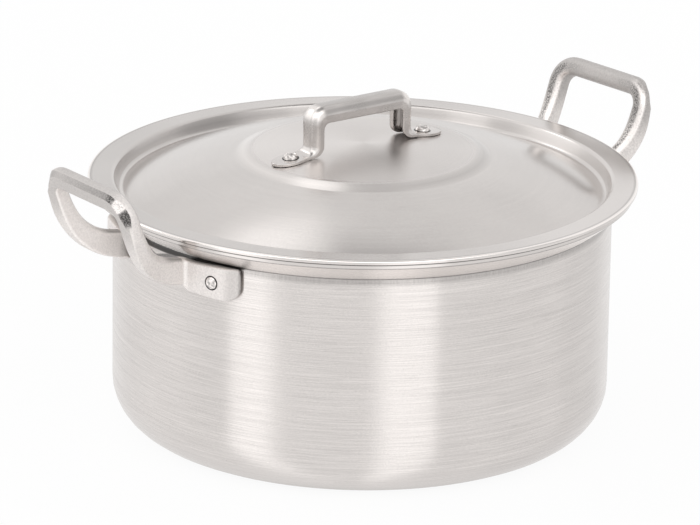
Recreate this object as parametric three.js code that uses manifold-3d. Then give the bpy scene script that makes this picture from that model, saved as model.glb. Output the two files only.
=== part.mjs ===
// Casserole pot: a spun aluminium pot with two riveted loop handles, and a loose lid with a strap handle.
// Millimetres, +Z up. The origin is the centre of the flat base, and +X runs between the two loop handles.

import * as THREE from 'three';
import { mergeVertices } from 'three/addons/utils/BufferGeometryUtils.js';
import Module from 'manifold-3d';

const { degToRad, lerp, smoothstep } = THREE.MathUtils;

// Pot body
const POT_RADIUS = 150;
const POT_WALL = 2.5;
const BASE_THICKNESS = 3;
const BASE_CORNER_RADIUS = 29;
const RIM_CREASE_HEIGHT = 138.4;
const RIM_RISE = 10.8;
const RIM_EDGE_DEPTH = 3.2;
const RIM_REACH = 13.4;
const RIM_FLAT = 1.2;

// Lid panel, with heights measured from the underside of its flange
const LID_SHEET = 1.8;
const LIP_CLEARANCE = 0.5;
const LIP_WALL = 1.4;
const LIP_DEPTH = 2.4;
const LIP_ROUND = 2;
const FLANGE_INSET = 0.5;
const FLANGE_ROUND = 1.6;
const RECESS_DEPTH = 9.6;
const RECESS_SLANT = 3.6;
const RECESS_ROUND = 2.4;
const DOME_RISE = 22.6;
const DOME_EDGE_SLOPE = degToRad(9);
const DOME_ROUND_SHARE = 0.445;
const STEP_OUTER_RADIUS = 76.3;
const STEP_WIDTH = 8;
const STEP_RISE = 3.2;
const STEP_ROUND = 1.5;
const DISC_CROWN = 4;
const LID_TURN = degToRad(-2.15);

// Lid handle, a strap pressed into a channel, with heights measured from the edge of the lid's raised disc
const STRAP_SHEET = 1.6;
const STRAP_WIDTH = 14.5;
const STRAP_EDGE_RADIUS = 5.5;
const STRAP_HEIGHT = 33.3;
const STRAP_CORNER_RADIUS = 10;
const STRAP_INNER_CORNER_RADIUS = 4;
const GRIP_FLANGE_DEPTH = 10;
const LEG_FLANGE_DEPTH = 7.7;
const FOOT_WIDTH = 17;
const FOOT_REACH = 11.4;
const FOOT_MARGIN = 13;
const FOOT_INSET = 1.8;
const FOOT_FLARE = 8;
const STRAP_SHIFT = -4.8;

// Loop handles: each is one casting, with two lugs on the wall, two arms and a grip
const HANDLE_SET_BACK = degToRad(2.25);
const LUG_THICKNESS = 6;
const LUG_HEIGHT = 19.6;
const LUG_TOP_DROP = 0.5;
const LUG_ARM_OVERLAP = 4;
const LUG_TIP_MARGIN = 17.5;
const LUG_LOWER_CORNER_RADIUS = 8;
const LUG_UPPER_CORNER_RADIUS = 2;
const ARM_ROOT_REACH = 31;
const ARM_ROOT_THICKNESS = 7;
const ARM_ROOT_HEIGHT = 16;
const ARM_ROOT_LIFT = 2.5;
const ARM_ROOT_RISE = degToRad(5);
const ARM_ROOT_PULL = 34;
const ARM_TAPER_LENGTH = 62;
const ARM_REACH = 37.6;
const GRIP_REACH = 48;
const GRIP_RISE = 52.3;
const GRIP_LEAN = degToRad(19);
const GRIP_PULL = 30;
const GRIP_CORNER_RADIUS = 10.5;
const BAR_WIDTH = 11.4;
const BAR_DEPTH = 10.4;
const BAR_OUTER_SQUARENESS = 5;
const BAR_INNER_SQUARENESS = 2.2;

// Rivets of the loop handles
const HANDLE_RIVET_REACH = 52.5;
const HANDLE_RIVET_DIAMETER = 5;
const HANDLE_RIVET_OUTER_HEAD = { diameter: 7.6, height: 1.6 };
const HANDLE_RIVET_INNER_HEAD = { diameter: 11, height: 2 };

// Rivets of the lid handle
const LID_RIVET_DIAMETER = 5;
const LID_RIVET_UPPER_HEAD = { diameter: 9.2, height: 2.8 };
const LID_RIVET_LOWER_HEAD = { diameter: 10, height: 1.6 };

// The flat part of a rivet head, as a share of its width
const RIVET_CROWN_SHARE = 0.7;

// Clearances between pieces
const SEAT_GAP = 0.3;
const RIVET_CLEARANCE = 0.3;

// Fineness of the facets
const TURN_SEGMENTS = 64;
const RING_SEGMENTS = 128;
const RIVET_SEGMENTS = 18;
const CORNER_STEPS = 4;
const ROUND_STEPS = 2;
const DOME_STEPS = 4;
const DISC_STEPS = 5;
const PATH_STEPS = 5;
const SECTION_POINTS = 16;

// Sizes that follow from the ones above
const POT_INNER_RADIUS = POT_RADIUS - POT_WALL;
const RIM_RADIUS = POT_RADIUS + RIM_REACH;
const RIM_EDGE_HEIGHT = RIM_CREASE_HEIGHT + RIM_RISE;
const RIM_TOP = RIM_EDGE_HEIGHT + RIM_EDGE_DEPTH;
const LID_RADIUS = RIM_RADIUS + LIP_CLEARANCE + LIP_WALL;
const LID_SEAT = RIM_TOP + SEAT_GAP;
const FLANGE_INNER_RADIUS = POT_RADIUS - FLANGE_INSET;
const STEP_INNER_RADIUS = STEP_OUTER_RADIUS - STEP_WIDTH;
const GROOVE_HEIGHT = LID_SHEET - RECESS_DEPTH;
const DISC_HEIGHT = GROOVE_HEIGHT + DOME_RISE + STEP_RISE;
const FOOT_TOP = SEAT_GAP + STRAP_SHEET;
const LID_RIVET_REACH = STEP_INNER_RADIUS - FOOT_INSET - FOOT_MARGIN - Math.abs(STRAP_SHIFT);
const STRAP_LEG_REACH = LID_RIVET_REACH - FOOT_REACH;
const LUG_INNER_RADIUS = POT_RADIUS + SEAT_GAP;
const LUG_OUTER_RADIUS = LUG_INNER_RADIUS + LUG_THICKNESS;
const LUG_TOP = RIM_CREASE_HEIGHT - LUG_TOP_DROP;
const LUG_BOTTOM = LUG_TOP - LUG_HEIGHT;
const LUG_MIDDLE = (LUG_TOP + LUG_BOTTOM) / 2;
const LUG_ARM_MARGIN = HANDLE_RIVET_REACH - ARM_ROOT_REACH + LUG_ARM_OVERLAP;
const HANDLE_RIVET_ANGLE = Math.asin(HANDLE_RIVET_REACH / LUG_OUTER_RADIUS);
const GRIP_RADIUS = POT_RADIUS + GRIP_REACH;
const GRIP_HEIGHT = LUG_MIDDLE + GRIP_RISE;

const brushedAluminium = new THREE.MeshStandardMaterial({ color: 0xd2cecb, roughness: 0.35, metalness: 1 });
const satinAluminium = new THREE.MeshStandardMaterial({ color: 0xd0cdca, roughness: 0.3, metalness: 1 });
const pressedAluminium = new THREE.MeshStandardMaterial({ color: 0xb9b5b0, roughness: 0.3, metalness: 1 });
const castAluminium = new THREE.MeshStandardMaterial({ color: 0xd8d4d0, roughness: 0.5, metalness: 1 });
const rivetAluminium = new THREE.MeshStandardMaterial({ color: 0xc8c5c2, roughness: 0.3, metalness: 1 });

const wasm = await Module();
wasm.setup();

// A closed geometry as a solid that can be joined and cut
function solidOf(geometry) {
  for (const name of Object.keys(geometry.attributes)) {
    if (name !== 'position') {
      geometry.deleteAttribute(name);
    }
  }
  const merged = mergeVertices(geometry, 1e-4);
  const corners = merged.index.array;
  const kept = [];
  for (let i = 0; i < corners.length; i += 3) {
    const [a, b, c] = corners.slice(i, i + 3);
    if (a !== b && b !== c && c !== a) {
      kept.push(a, b, c);
    }
  }
  const vertProperties = new Float32Array(merged.attributes.position.array);
  const triVerts = new Uint32Array(kept);
  return new wasm.Manifold(new wasm.Mesh({ numProp: 3, vertProperties, triVerts }));
}

// A solid as a named mesh
function meshOf(name, solid, material) {
  const { vertProperties, triVerts } = solid.getMesh();
  const geometry = new THREE.BufferGeometry();
  geometry.setAttribute('position', new THREE.BufferAttribute(vertProperties, 3));
  geometry.setIndex(new THREE.BufferAttribute(triVerts, 1));
  geometry.computeVertexNormals();
  const mesh = new THREE.Mesh(geometry, material);
  mesh.name = name;
  return mesh;
}

// A profile of radius and height, turned round the Z axis
function turned(points, segments) {
  const geometry = new THREE.LatheGeometry(points, segments);
  geometry.rotateX(Math.PI / 2);
  return geometry;
}

// An outline in X and Y, raised along Z
function raised(shape, from, to) {
  const geometry = new THREE.ExtrudeGeometry(shape, {
    depth: to - from,
    bevelEnabled: false,
    curveSegments: CORNER_STEPS,
  });
  geometry.translate(0, 0, from);
  return geometry;
}

// Rings of equally many points, skinned one to the next, with both ends filled as the flat outline is
function lofted(rings, endOutline) {
  const count = endOutline.length;
  const index = [];
  for (let start = 0; start + count < rings.length * count; start += count) {
    for (let i = 0; i < count; i += 1) {
      const near = start + i;
      const nearNext = start + ((i + 1) % count);
      index.push(near, nearNext, nearNext + count, near, nearNext + count, near + count);
    }
  }
  const last = (rings.length - 1) * count;
  for (const [a, b, c] of THREE.ShapeUtils.triangulateShape(endOutline, [])) {
    index.push(c, b, a, last + a, last + b, last + c);
  }
  const geometry = new THREE.BufferGeometry();
  geometry.setFromPoints(rings.flat());
  geometry.setIndex(index);
  return geometry;
}

// A line through corners, each rounded off over a length on both of its sides
function roundedLine(corners) {
  const [first, ...rest] = corners;
  const points = [new THREE.Vector2(first.x, first.y)];
  rest.forEach(({ x, y, round, steps = ROUND_STEPS }, i) => {
    const corner = new THREE.Vector2(x, y);
    if (!round) {
      points.push(corner);
      return;
    }
    const next = rest[i + 1];
    const start = points.at(-1).clone().sub(corner).setLength(round).add(corner);
    const end = new THREE.Vector2(next.x, next.y).sub(corner).setLength(round).add(corner);
    points.push(...new THREE.QuadraticBezierCurve(start, corner, end).getPoints(steps));
  });
  return points;
}

// The line that keeps a distance to the right of a line of points
function besideLine(points, distance) {
  return points.map((point, i) => {
    const before = points[Math.max(i - 1, 0)];
    const after = points[Math.min(i + 1, points.length - 1)];
    const into = (i > 0 ? point.clone().sub(before) : after.clone().sub(point)).normalize();
    const onward = (after !== point ? after.clone().sub(point) : into.clone()).normalize();
    const along = into.clone().add(onward).normalize();
    const right = new THREE.Vector2(along.y, -along.x);
    return point.clone().addScaledVector(right, distance / along.dot(onward));
  });
}

// A rivet along +Z: a head that ends at the height of one seat, a shank, and a head that starts at the other
function rivetGeometry(diameter, lowerHead, lowerSeat, upperHead, upperSeat) {
  const shank = diameter / 2;
  const profile = [
    new THREE.Vector2(0, lowerSeat - lowerHead.height),
    new THREE.Vector2((RIVET_CROWN_SHARE * lowerHead.diameter) / 2, lowerSeat - lowerHead.height),
    new THREE.Vector2(lowerHead.diameter / 2, lowerSeat - lowerHead.height / 2),
    new THREE.Vector2(lowerHead.diameter / 2, lowerSeat),
    new THREE.Vector2(shank, lowerSeat),
    new THREE.Vector2(shank, upperSeat),
    new THREE.Vector2(upperHead.diameter / 2, upperSeat),
    new THREE.Vector2(upperHead.diameter / 2, upperSeat + upperHead.height / 2),
    new THREE.Vector2((RIVET_CROWN_SHARE * upperHead.diameter) / 2, upperSeat + upperHead.height),
    new THREE.Vector2(0, upperSeat + upperHead.height),
  ];
  return turned(profile, RIVET_SEGMENTS);
}

// A straight round hole along +Z
function holeGeometry(diameter, from, to) {
  const radius = diameter / 2 + RIVET_CLEARANCE;
  const profile = [[0, from], [radius, from], [radius, to], [0, to]].map(([x, y]) => new THREE.Vector2(x, y));
  return turned(profile, RIVET_SEGMENTS);
}

// Turns what stands on +Z to point away from the pot's axis, at an angle round it and at the lugs' height
function pointedOut(geometry, angle) {
  geometry.rotateY(Math.PI / 2);
  geometry.rotateZ(angle);
  geometry.translate(0, 0, LUG_MIDDLE);
  return geometry;
}

function potBody(handleAngles) {
  const innerCorner = BASE_CORNER_RADIUS - BASE_THICKNESS;
  const innerCornerHeight = BASE_THICKNESS + innerCorner;
  const rimSlope = RIM_RISE / RIM_REACH;
  const rimInnerEdge = RIM_RADIUS - RIM_FLAT;
  const innerCreaseHeight = RIM_TOP - (rimInnerEdge - POT_INNER_RADIUS) * rimSlope;
  const profile = new THREE.Path();
  profile.moveTo(0, 0);
  profile.lineTo(POT_RADIUS - BASE_CORNER_RADIUS, 0);
  profile.absarc(POT_RADIUS - BASE_CORNER_RADIUS, BASE_CORNER_RADIUS, BASE_CORNER_RADIUS, -Math.PI / 2, 0);
  profile.lineTo(POT_RADIUS, RIM_CREASE_HEIGHT);
  profile.lineTo(RIM_RADIUS, RIM_EDGE_HEIGHT);
  profile.lineTo(RIM_RADIUS, RIM_TOP);
  profile.lineTo(rimInnerEdge, RIM_TOP);
  profile.lineTo(POT_INNER_RADIUS, innerCreaseHeight);
  profile.absarc(POT_INNER_RADIUS - innerCorner, innerCornerHeight, innerCorner, 0, -Math.PI / 2, true);
  profile.lineTo(0, BASE_THICKNESS);
  let solid = solidOf(turned(profile.getPoints(CORNER_STEPS), TURN_SEGMENTS));
  for (const handleAngle of handleAngles) {
    for (const side of [1, -1]) {
      const hole = holeGeometry(HANDLE_RIVET_DIAMETER, POT_INNER_RADIUS - POT_WALL, POT_RADIUS + POT_WALL);
      solid = solid.subtract(solidOf(pointedOut(hole, handleAngle + side * HANDLE_RIVET_ANGLE)));
    }
  }
  return solid;
}

// Height of the raised disc above its edge, at a distance from the lid's axis
function crownHeight(radius) {
  return DISC_CROWN * (1 - (radius / STEP_INNER_RADIUS) ** 2);
}

// How steeply the raised disc falls away there
function crownSlope(radius) {
  return Math.atan((2 * DISC_CROWN * radius) / STEP_INNER_RADIUS ** 2);
}

// Sets what stands on +Z onto the raised disc, at a distance along the strap from its middle
function onDisc(geometry, reach) {
  const place = STRAP_SHIFT + reach;
  const radius = Math.abs(place);
  geometry.rotateY(Math.sign(place) * crownSlope(radius));
  geometry.translate(place, 0, crownHeight(radius));
  return geometry;
}

function lidPanel() {
  const grooveRadius = FLANGE_INNER_RADIUS - RECESS_SLANT;
  const stepFoot = GROOVE_HEIGHT + DOME_RISE;
  const shoulderRadius = (STEP_OUTER_RADIUS + grooveRadius) / 2;
  const domeRound = DOME_ROUND_SHARE * (grooveRadius - STEP_OUTER_RADIUS);
  const shoulderHeight = stepFoot - Math.tan(DOME_EDGE_SLOPE) * (shoulderRadius - STEP_OUTER_RADIUS);
  const crown = Array.from({ length: DISC_STEPS }, (_, i) => {
    const x = (i / DISC_STEPS) * STEP_INNER_RADIUS;
    return { x, y: DISC_HEIGHT + crownHeight(x) };
  });
  const upper = roundedLine([
    ...crown,
    { x: STEP_INNER_RADIUS, y: DISC_HEIGHT, round: STEP_ROUND },
    { x: STEP_OUTER_RADIUS, y: stepFoot, round: STEP_ROUND },
    { x: shoulderRadius, y: shoulderHeight, round: domeRound, steps: DOME_STEPS },
    { x: grooveRadius, y: GROOVE_HEIGHT, round: RECESS_ROUND },
    { x: FLANGE_INNER_RADIUS, y: LID_SHEET, round: FLANGE_ROUND },
    { x: LID_RADIUS - LIP_WALL, y: LID_SHEET },
  ]);
  const lip = roundedLine([
    { x: LID_RADIUS - LIP_ROUND - LIP_WALL, y: LID_SHEET },
    { x: LID_RADIUS, y: LID_SHEET, round: LIP_ROUND },
    { x: LID_RADIUS, y: LID_SHEET - LIP_DEPTH },
    { x: LID_RADIUS - LIP_WALL, y: LID_SHEET - LIP_DEPTH },
  ]);
  const lower = besideLine(upper, LID_SHEET);
  lower[0].setX(0);
  const profile = [...upper.slice(0, -1), ...lip, ...lower.reverse()];
  let solid = solidOf(turned(profile.reverse(), TURN_SEGMENTS));
  for (const side of [1, -1]) {
    const hole = onDisc(holeGeometry(LID_RIVET_DIAMETER, -2 * LID_SHEET, LID_SHEET), side * LID_RIVET_REACH);
    hole.translate(0, 0, DISC_HEIGHT);
    solid = solid.subtract(solidOf(hole));
  }
  return solid;
}

// The flat outline of the strap's channel: across the strap, and down from its back
function channelOutline(depth) {
  const half = STRAP_WIDTH / 2;
  const inner = STRAP_EDGE_RADIUS - STRAP_SHEET;
  const corner = half - STRAP_EDGE_RADIUS;
  const outline = new THREE.Path();
  outline.moveTo(-half, depth);
  outline.lineTo(-half, STRAP_EDGE_RADIUS);
  outline.absarc(-corner, STRAP_EDGE_RADIUS, STRAP_EDGE_RADIUS, -Math.PI, -Math.PI / 2);
  outline.absarc(corner, STRAP_EDGE_RADIUS, STRAP_EDGE_RADIUS, -Math.PI / 2, 0);
  outline.lineTo(half, depth);
  outline.lineTo(half - STRAP_SHEET, depth);
  outline.absarc(corner, STRAP_EDGE_RADIUS, inner, 0, -Math.PI / 2, true);
  outline.absarc(-corner, STRAP_EDGE_RADIUS, inner, -Math.PI / 2, -Math.PI, true);
  outline.lineTo(-half + STRAP_SHEET, depth);
  return outline.getPoints(ROUND_STEPS);
}

// The middle of a foot's sheet on one side of the strap, at a distance from the strap's middle
function footHeight(side, reach) {
  const radius = Math.abs(STRAP_SHIFT + side * LID_RIVET_REACH);
  const slope = crownSlope(radius);
  const sheetMiddle = (SEAT_GAP + FOOT_TOP) / 2 / Math.cos(slope);
  return crownHeight(radius) + sheetMiddle + (LID_RIVET_REACH - reach) * Math.tan(slope);
}

// One half of the strap seen from its side, from foot to middle: its back, and the edge of its flanges
function strapStations(side) {
  const innerReach = STRAP_LEG_REACH - LEG_FLANGE_DEPTH;
  const innerHeight = STRAP_HEIGHT - GRIP_FLANGE_DEPTH;
  const stations = [{
    back: [side * STRAP_LEG_REACH, footHeight(side, STRAP_LEG_REACH)],
    edge: [side * innerReach, footHeight(side, innerReach)],
  }];
  for (let k = 0; k <= CORNER_STEPS; k += 1) {
    const angle = (Math.PI / 2) * (k / CORNER_STEPS);
    const outwards = Math.cos(angle) - 1;
    const upwards = Math.sin(angle) - 1;
    const backReach = STRAP_LEG_REACH + STRAP_CORNER_RADIUS * outwards;
    const backHeight = STRAP_HEIGHT + STRAP_CORNER_RADIUS * upwards;
    const edgeReach = innerReach + STRAP_INNER_CORNER_RADIUS * outwards;
    const edgeHeight = innerHeight + STRAP_INNER_CORNER_RADIUS * upwards;
    stations.push({ back: [side * backReach, backHeight], edge: [side * edgeReach, edgeHeight] });
  }
  return stations;
}

function lidHandle() {
  const rings = [...strapStations(1), ...strapStations(-1).reverse()].map(({ back, edge }) => {
    const top = new THREE.Vector3(back[0], 0, back[1]);
    const down = new THREE.Vector3(edge[0], 0, edge[1]).sub(top);
    const depth = down.length();
    down.normalize();
    return channelOutline(depth).map(({ x, y }) => top.clone().addScaledVector(down, y).setY(x));
  });
  const strap = lofted(rings, channelOutline(GRIP_FLANGE_DEPTH));
  strap.translate(STRAP_SHIFT, 0, 0);
  let solid = solidOf(strap);
  const footStart = -FOOT_REACH - LEG_FLANGE_DEPTH;
  const foot = new THREE.Shape();
  foot.moveTo(footStart, -STRAP_WIDTH / 2);
  foot.lineTo(-FOOT_REACH, -STRAP_WIDTH / 2);
  foot.lineTo(FOOT_FLARE - FOOT_REACH, -FOOT_WIDTH / 2);
  foot.absellipse(0, 0, FOOT_MARGIN, FOOT_WIDTH / 2, -Math.PI / 2, Math.PI / 2);
  foot.lineTo(FOOT_FLARE - FOOT_REACH, FOOT_WIDTH / 2);
  foot.lineTo(-FOOT_REACH, STRAP_WIDTH / 2);
  foot.lineTo(footStart, STRAP_WIDTH / 2);
  for (const side of [1, -1]) {
    const plate = raised(foot, SEAT_GAP, FOOT_TOP);
    plate.rotateZ(side > 0 ? 0 : Math.PI);
    solid = solid.add(solidOf(onDisc(plate, side * LID_RIVET_REACH)));
    const hole = holeGeometry(LID_RIVET_DIAMETER, 0, 2 * FOOT_TOP);
    solid = solid.subtract(solidOf(onDisc(hole, side * LID_RIVET_REACH)));
  }
  return solid;
}

// The handle's arm seen from its side, from inside a lug to the middle of the grip: distance out, and height
function armLine() {
  const rootRadius = Math.sqrt(LUG_OUTER_RADIUS ** 2 - ARM_ROOT_REACH ** 2) - LUG_THICKNESS / 2;
  const root = new THREE.Vector2(rootRadius, LUG_MIDDLE + ARM_ROOT_LIFT);
  const grip = new THREE.Vector2(GRIP_RADIUS, GRIP_HEIGHT);
  const outOfRoot = new THREE.Vector2(Math.cos(ARM_ROOT_RISE), Math.sin(ARM_ROOT_RISE));
  const intoGrip = new THREE.Vector2(Math.sin(GRIP_LEAN), Math.cos(GRIP_LEAN));
  const rootControl = root.clone().addScaledVector(outOfRoot, ARM_ROOT_PULL);
  const gripControl = grip.clone().addScaledVector(intoGrip, -GRIP_PULL);
  return new THREE.CubicBezierCurve(root, rootControl, gripControl, grip);
}

// The handle's bar laid flat, from one lug to the other: places across the handle, and lengths along the arm
function barRoute(armLength) {
  const cornerStart = armLength - GRIP_CORNER_RADIUS;
  const spread = ARM_TAPER_LENGTH / 2;
  const route = new THREE.Path();
  route.moveTo(ARM_ROOT_REACH, 0);
  route.bezierCurveTo(ARM_ROOT_REACH, spread, ARM_REACH, spread, ARM_REACH, cornerStart);
  route.absarc(ARM_REACH - GRIP_CORNER_RADIUS, cornerStart, GRIP_CORNER_RADIUS, 0, Math.PI / 2);
  const [arm, corner] = route.curves;
  const half = [...arm.getPoints(2 * PATH_STEPS), ...corner.getPoints(PATH_STEPS).slice(1)];
  const otherHalf = half.map(({ x, y }) => new THREE.Vector2(-x, y));
  return [...half, ...otherHalf.reverse()];
}

// The bar's cross-section: across it, and out towards the side that faces away from the pot
function barOutline(width, depth) {
  return Array.from({ length: SECTION_POINTS }, (_, i) => {
    const angle = 2 * Math.PI * ((i + 0.5) / SECTION_POINTS);
    const power = 2 / (Math.sin(angle) > 0 ? BAR_OUTER_SQUARENESS : BAR_INNER_SQUARENESS);
    const across = Math.sign(Math.cos(angle)) * Math.abs(Math.cos(angle)) ** power;
    const out = Math.sign(Math.sin(angle)) * Math.abs(Math.sin(angle)) ** power;
    return new THREE.Vector2((across * width) / 2, (out * depth) / 2);
  });
}

function handleBar() {
  const line = armLine();
  const armLength = line.getLength();
  const points = barRoute(armLength);
  const rings = points.map((point, i) => {
    const before = points[Math.max(i - 1, 0)];
    const after = points[Math.min(i + 1, points.length - 1)];
    const forward = after.clone().sub(before).normalize();
    const place = line.getPointAt(point.y / armLength);
    const heading = line.getTangentAt(point.y / armLength);
    const growth = smoothstep(point.y, 0, ARM_TAPER_LENGTH);
    const width = lerp(ARM_ROOT_THICKNESS, BAR_WIDTH, growth);
    const depth = lerp(ARM_ROOT_HEIGHT, BAR_DEPTH, growth);
    const up = new THREE.Vector3(heading.x, 0, heading.y);
    const out = new THREE.Vector3(heading.y, 0, -heading.x);
    const across = new THREE.Vector3(0, -forward.y, 0).addScaledVector(up, forward.x);
    const centre = new THREE.Vector3(place.x, point.x, place.y);
    return barOutline(width, depth).map((spot) => (
      centre.clone().addScaledVector(across, spot.x).addScaledVector(out, spot.y)
    ));
  });
  return solidOf(lofted(rings, barOutline(1, 1)));
}

// Both lugs: a ring that fits the wall, kept only behind the lugs' outlines
function handleLugs() {
  const ring = [
    new THREE.Vector2(LUG_INNER_RADIUS, LUG_BOTTOM),
    new THREE.Vector2(LUG_OUTER_RADIUS, LUG_BOTTOM),
    new THREE.Vector2(LUG_OUTER_RADIUS, LUG_TOP),
    new THREE.Vector2(LUG_INNER_RADIUS, LUG_TOP),
    new THREE.Vector2(LUG_INNER_RADIUS, LUG_BOTTOM),
  ];
  const outline = new THREE.Shape();
  const lower = LUG_LOWER_CORNER_RADIUS;
  const upper = LUG_UPPER_CORNER_RADIUS;
  outline.moveTo(-LUG_ARM_MARGIN, LUG_BOTTOM);
  outline.lineTo(LUG_TIP_MARGIN - lower, LUG_BOTTOM);
  outline.absarc(LUG_TIP_MARGIN - lower, LUG_BOTTOM + lower, lower, -Math.PI / 2, 0);
  outline.absarc(LUG_TIP_MARGIN - upper, LUG_TOP - upper, upper, 0, Math.PI / 2);
  outline.lineTo(-LUG_ARM_MARGIN, LUG_TOP);
  const block = raised(outline, 0, LUG_OUTER_RADIUS + LUG_THICKNESS);
  block.rotateX(Math.PI / 2);
  block.rotateZ(Math.PI / 2 + HANDLE_RIVET_ANGLE);
  const lug = solidOf(block).intersect(solidOf(turned(ring, RING_SEGMENTS)));
  return lug.add(lug.mirror([0, 1, 0]));
}

function sideHandle() {
  let solid = handleBar().add(handleLugs());
  for (const side of [1, -1]) {
    const holeEnd = LUG_OUTER_RADIUS + LUG_THICKNESS;
    const hole = holeGeometry(HANDLE_RIVET_DIAMETER, POT_RADIUS - LUG_THICKNESS, holeEnd);
    solid = solid.subtract(solidOf(pointedOut(hole, side * HANDLE_RIVET_ANGLE)));
  }
  return solid;
}

function handleRivet(angle) {
  const innerHeadRadius = HANDLE_RIVET_INNER_HEAD.diameter / 2;
  const innerSeat = Math.sqrt(POT_INNER_RADIUS ** 2 - innerHeadRadius ** 2) - SEAT_GAP;
  const outerSeat = LUG_OUTER_RADIUS + SEAT_GAP;
  const geometry = rivetGeometry(
    HANDLE_RIVET_DIAMETER,
    HANDLE_RIVET_INNER_HEAD,
    innerSeat,
    HANDLE_RIVET_OUTER_HEAD,
    outerSeat,
  );
  return solidOf(pointedOut(geometry, angle));
}

function lidRivet(reach) {
  const lowerSeat = -LID_SHEET - SEAT_GAP;
  const upperSeat = FOOT_TOP + SEAT_GAP;
  const geometry = rivetGeometry(
    LID_RIVET_DIAMETER,
    LID_RIVET_LOWER_HEAD,
    lowerSeat,
    LID_RIVET_UPPER_HEAD,
    upperSeat,
  );
  return solidOf(onDisc(geometry, reach));
}

const casserole = new THREE.Group();

const handles = [
  { side: 'right', angle: HANDLE_SET_BACK },
  { side: 'left', angle: Math.PI - HANDLE_SET_BACK },
];
casserole.add(meshOf('pot_body', potBody(handles.map(({ angle }) => angle)), brushedAluminium));
for (const { side, angle } of handles) {
  const handle = new THREE.Group();
  handle.rotation.z = angle;
  handle.add(meshOf(`side_handle_${side}`, sideHandle(), castAluminium));
  const ends = side === 'right' ? ['back', 'front'] : ['front', 'back'];
  handle.add(meshOf(`handle_rivet_${side}_${ends[0]}`, handleRivet(HANDLE_RIVET_ANGLE), rivetAluminium));
  handle.add(meshOf(`handle_rivet_${side}_${ends[1]}`, handleRivet(-HANDLE_RIVET_ANGLE), rivetAluminium));
  casserole.add(handle);
}

const lid = new THREE.Group();
lid.position.z = LID_SEAT;
lid.rotation.z = LID_TURN;
lid.add(meshOf('lid_panel', lidPanel(), satinAluminium));
const lidFittings = new THREE.Group();
lidFittings.position.z = DISC_HEIGHT;
lidFittings.add(meshOf('lid_handle', lidHandle(), pressedAluminium));
lidFittings.add(meshOf('lid_rivet_right', lidRivet(LID_RIVET_REACH), rivetAluminium));
lidFittings.add(meshOf('lid_rivet_left', lidRivet(-LID_RIVET_REACH), rivetAluminium));
lid.add(lidFittings);
casserole.add(lid);

export default casserole;
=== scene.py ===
"""Looks of a casserole pot: brushed body, cast loop handles, and a satin lid with a pressed strap handle."""

from math import acos, asin, atan, atan2, copysign, cos, degrees, hypot, pi, radians, sin, sqrt, tan

import bpy
import numpy as np
from mathutils import Matrix, Vector, noise


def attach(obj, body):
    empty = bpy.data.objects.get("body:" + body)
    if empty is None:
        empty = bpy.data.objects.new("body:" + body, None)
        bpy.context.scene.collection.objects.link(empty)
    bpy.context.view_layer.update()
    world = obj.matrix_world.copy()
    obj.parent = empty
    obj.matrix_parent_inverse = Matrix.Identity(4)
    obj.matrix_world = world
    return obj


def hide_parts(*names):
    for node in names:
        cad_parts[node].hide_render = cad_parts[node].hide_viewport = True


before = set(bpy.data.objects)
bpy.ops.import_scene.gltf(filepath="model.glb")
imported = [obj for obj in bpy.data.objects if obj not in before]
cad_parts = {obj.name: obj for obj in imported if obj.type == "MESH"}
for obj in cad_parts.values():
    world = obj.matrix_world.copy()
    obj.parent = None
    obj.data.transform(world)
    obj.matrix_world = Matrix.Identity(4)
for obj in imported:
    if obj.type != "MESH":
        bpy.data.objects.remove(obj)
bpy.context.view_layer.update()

MM = 0.001

# Pot body, in millimetres
POT_RADIUS = 150.0
POT_WALL = 2.5
BASE_THICKNESS = 3.0
BASE_ROUND = 29.0
CREASE_HEIGHT = 138.4
RIM_EDGE_HEIGHT = 149.2
RIM_TOP = 152.4
RIM_RADIUS = 163.4
RIM_FLAT = 1.2
CREASE_ROUND = 1.6
RIM_ROUND = 0.5

# Lid panel, with heights from the underside of its flange
LID_SEAT = 152.7
LID_SHEET = 1.8
LID_RADIUS = 165.15
LIP_WALL = 1.4
LIP_DEPTH = 2.4
LIP_ROUND = 1.5
LIP_EDGE_ROUND = 0.5
LIP_INNER_EDGE_ROUND = 0.4
LIP_ROOT_ROUND = 0.8
FLANGE_RADIUS = 149.5
FLANGE_ROUND = 2.4
RECESS_DEPTH = 9.6
RECESS_SLANT = 3.6
GROOVE_ROUND = 2.6
DOME_RISE = 22.6
DOME_EDGE_SLOPE = radians(9)
STEP_RADIUS = 76.3
DISC_RADIUS = 68.3
STEP_RISE = 3.2
STEP_FOOT_ROUND = 2.0
DISC_HEIGHT = LID_SEAT + LID_SHEET - RECESS_DEPTH + DOME_RISE + STEP_RISE
DISC_CROWN = 4.0
DISC_EDGE_ROUND = 5.0
UNDERSIDE_FLANGE_SHIFT = 1.2
UNDERSIDE_GROOVE_SHIFT = 1.0
UNDERSIDE_DOME_SHIFT = 0.3
UNDERSIDE_DOME_DROP = LID_SHEET * 1.05
LID_TURN = radians(-2.15)

# Lid handle, with heights from the edge of the lid's raised disc
STRAP_SHEET = 1.6
STRAP_WIDTH = 14.5
STRAP_EDGE_RADIUS = 5.4
STRAP_LEAST_ROUND = 0.15
STRAP_HEIGHT = 33.3
STRAP_LEG_REACH = 37.3
STRAP_ROUND = 10.0
STRAP_INNER_ROUND = 4.0
GRIP_FLANGE_DEPTH = 10.0
LEG_FLANGE_DEPTH = 7.7
FOOT_WIDTH = 17.0
FOOT_MARGIN = 13.0
FOOT_GAP = 0.3
FOOT_BEND_RADIUS = 5.0
FOOT_EDGE_RADIUS = 0.35
STRAP_SHIFT = -4.8
LID_RIVET_REACH = 48.7

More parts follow.
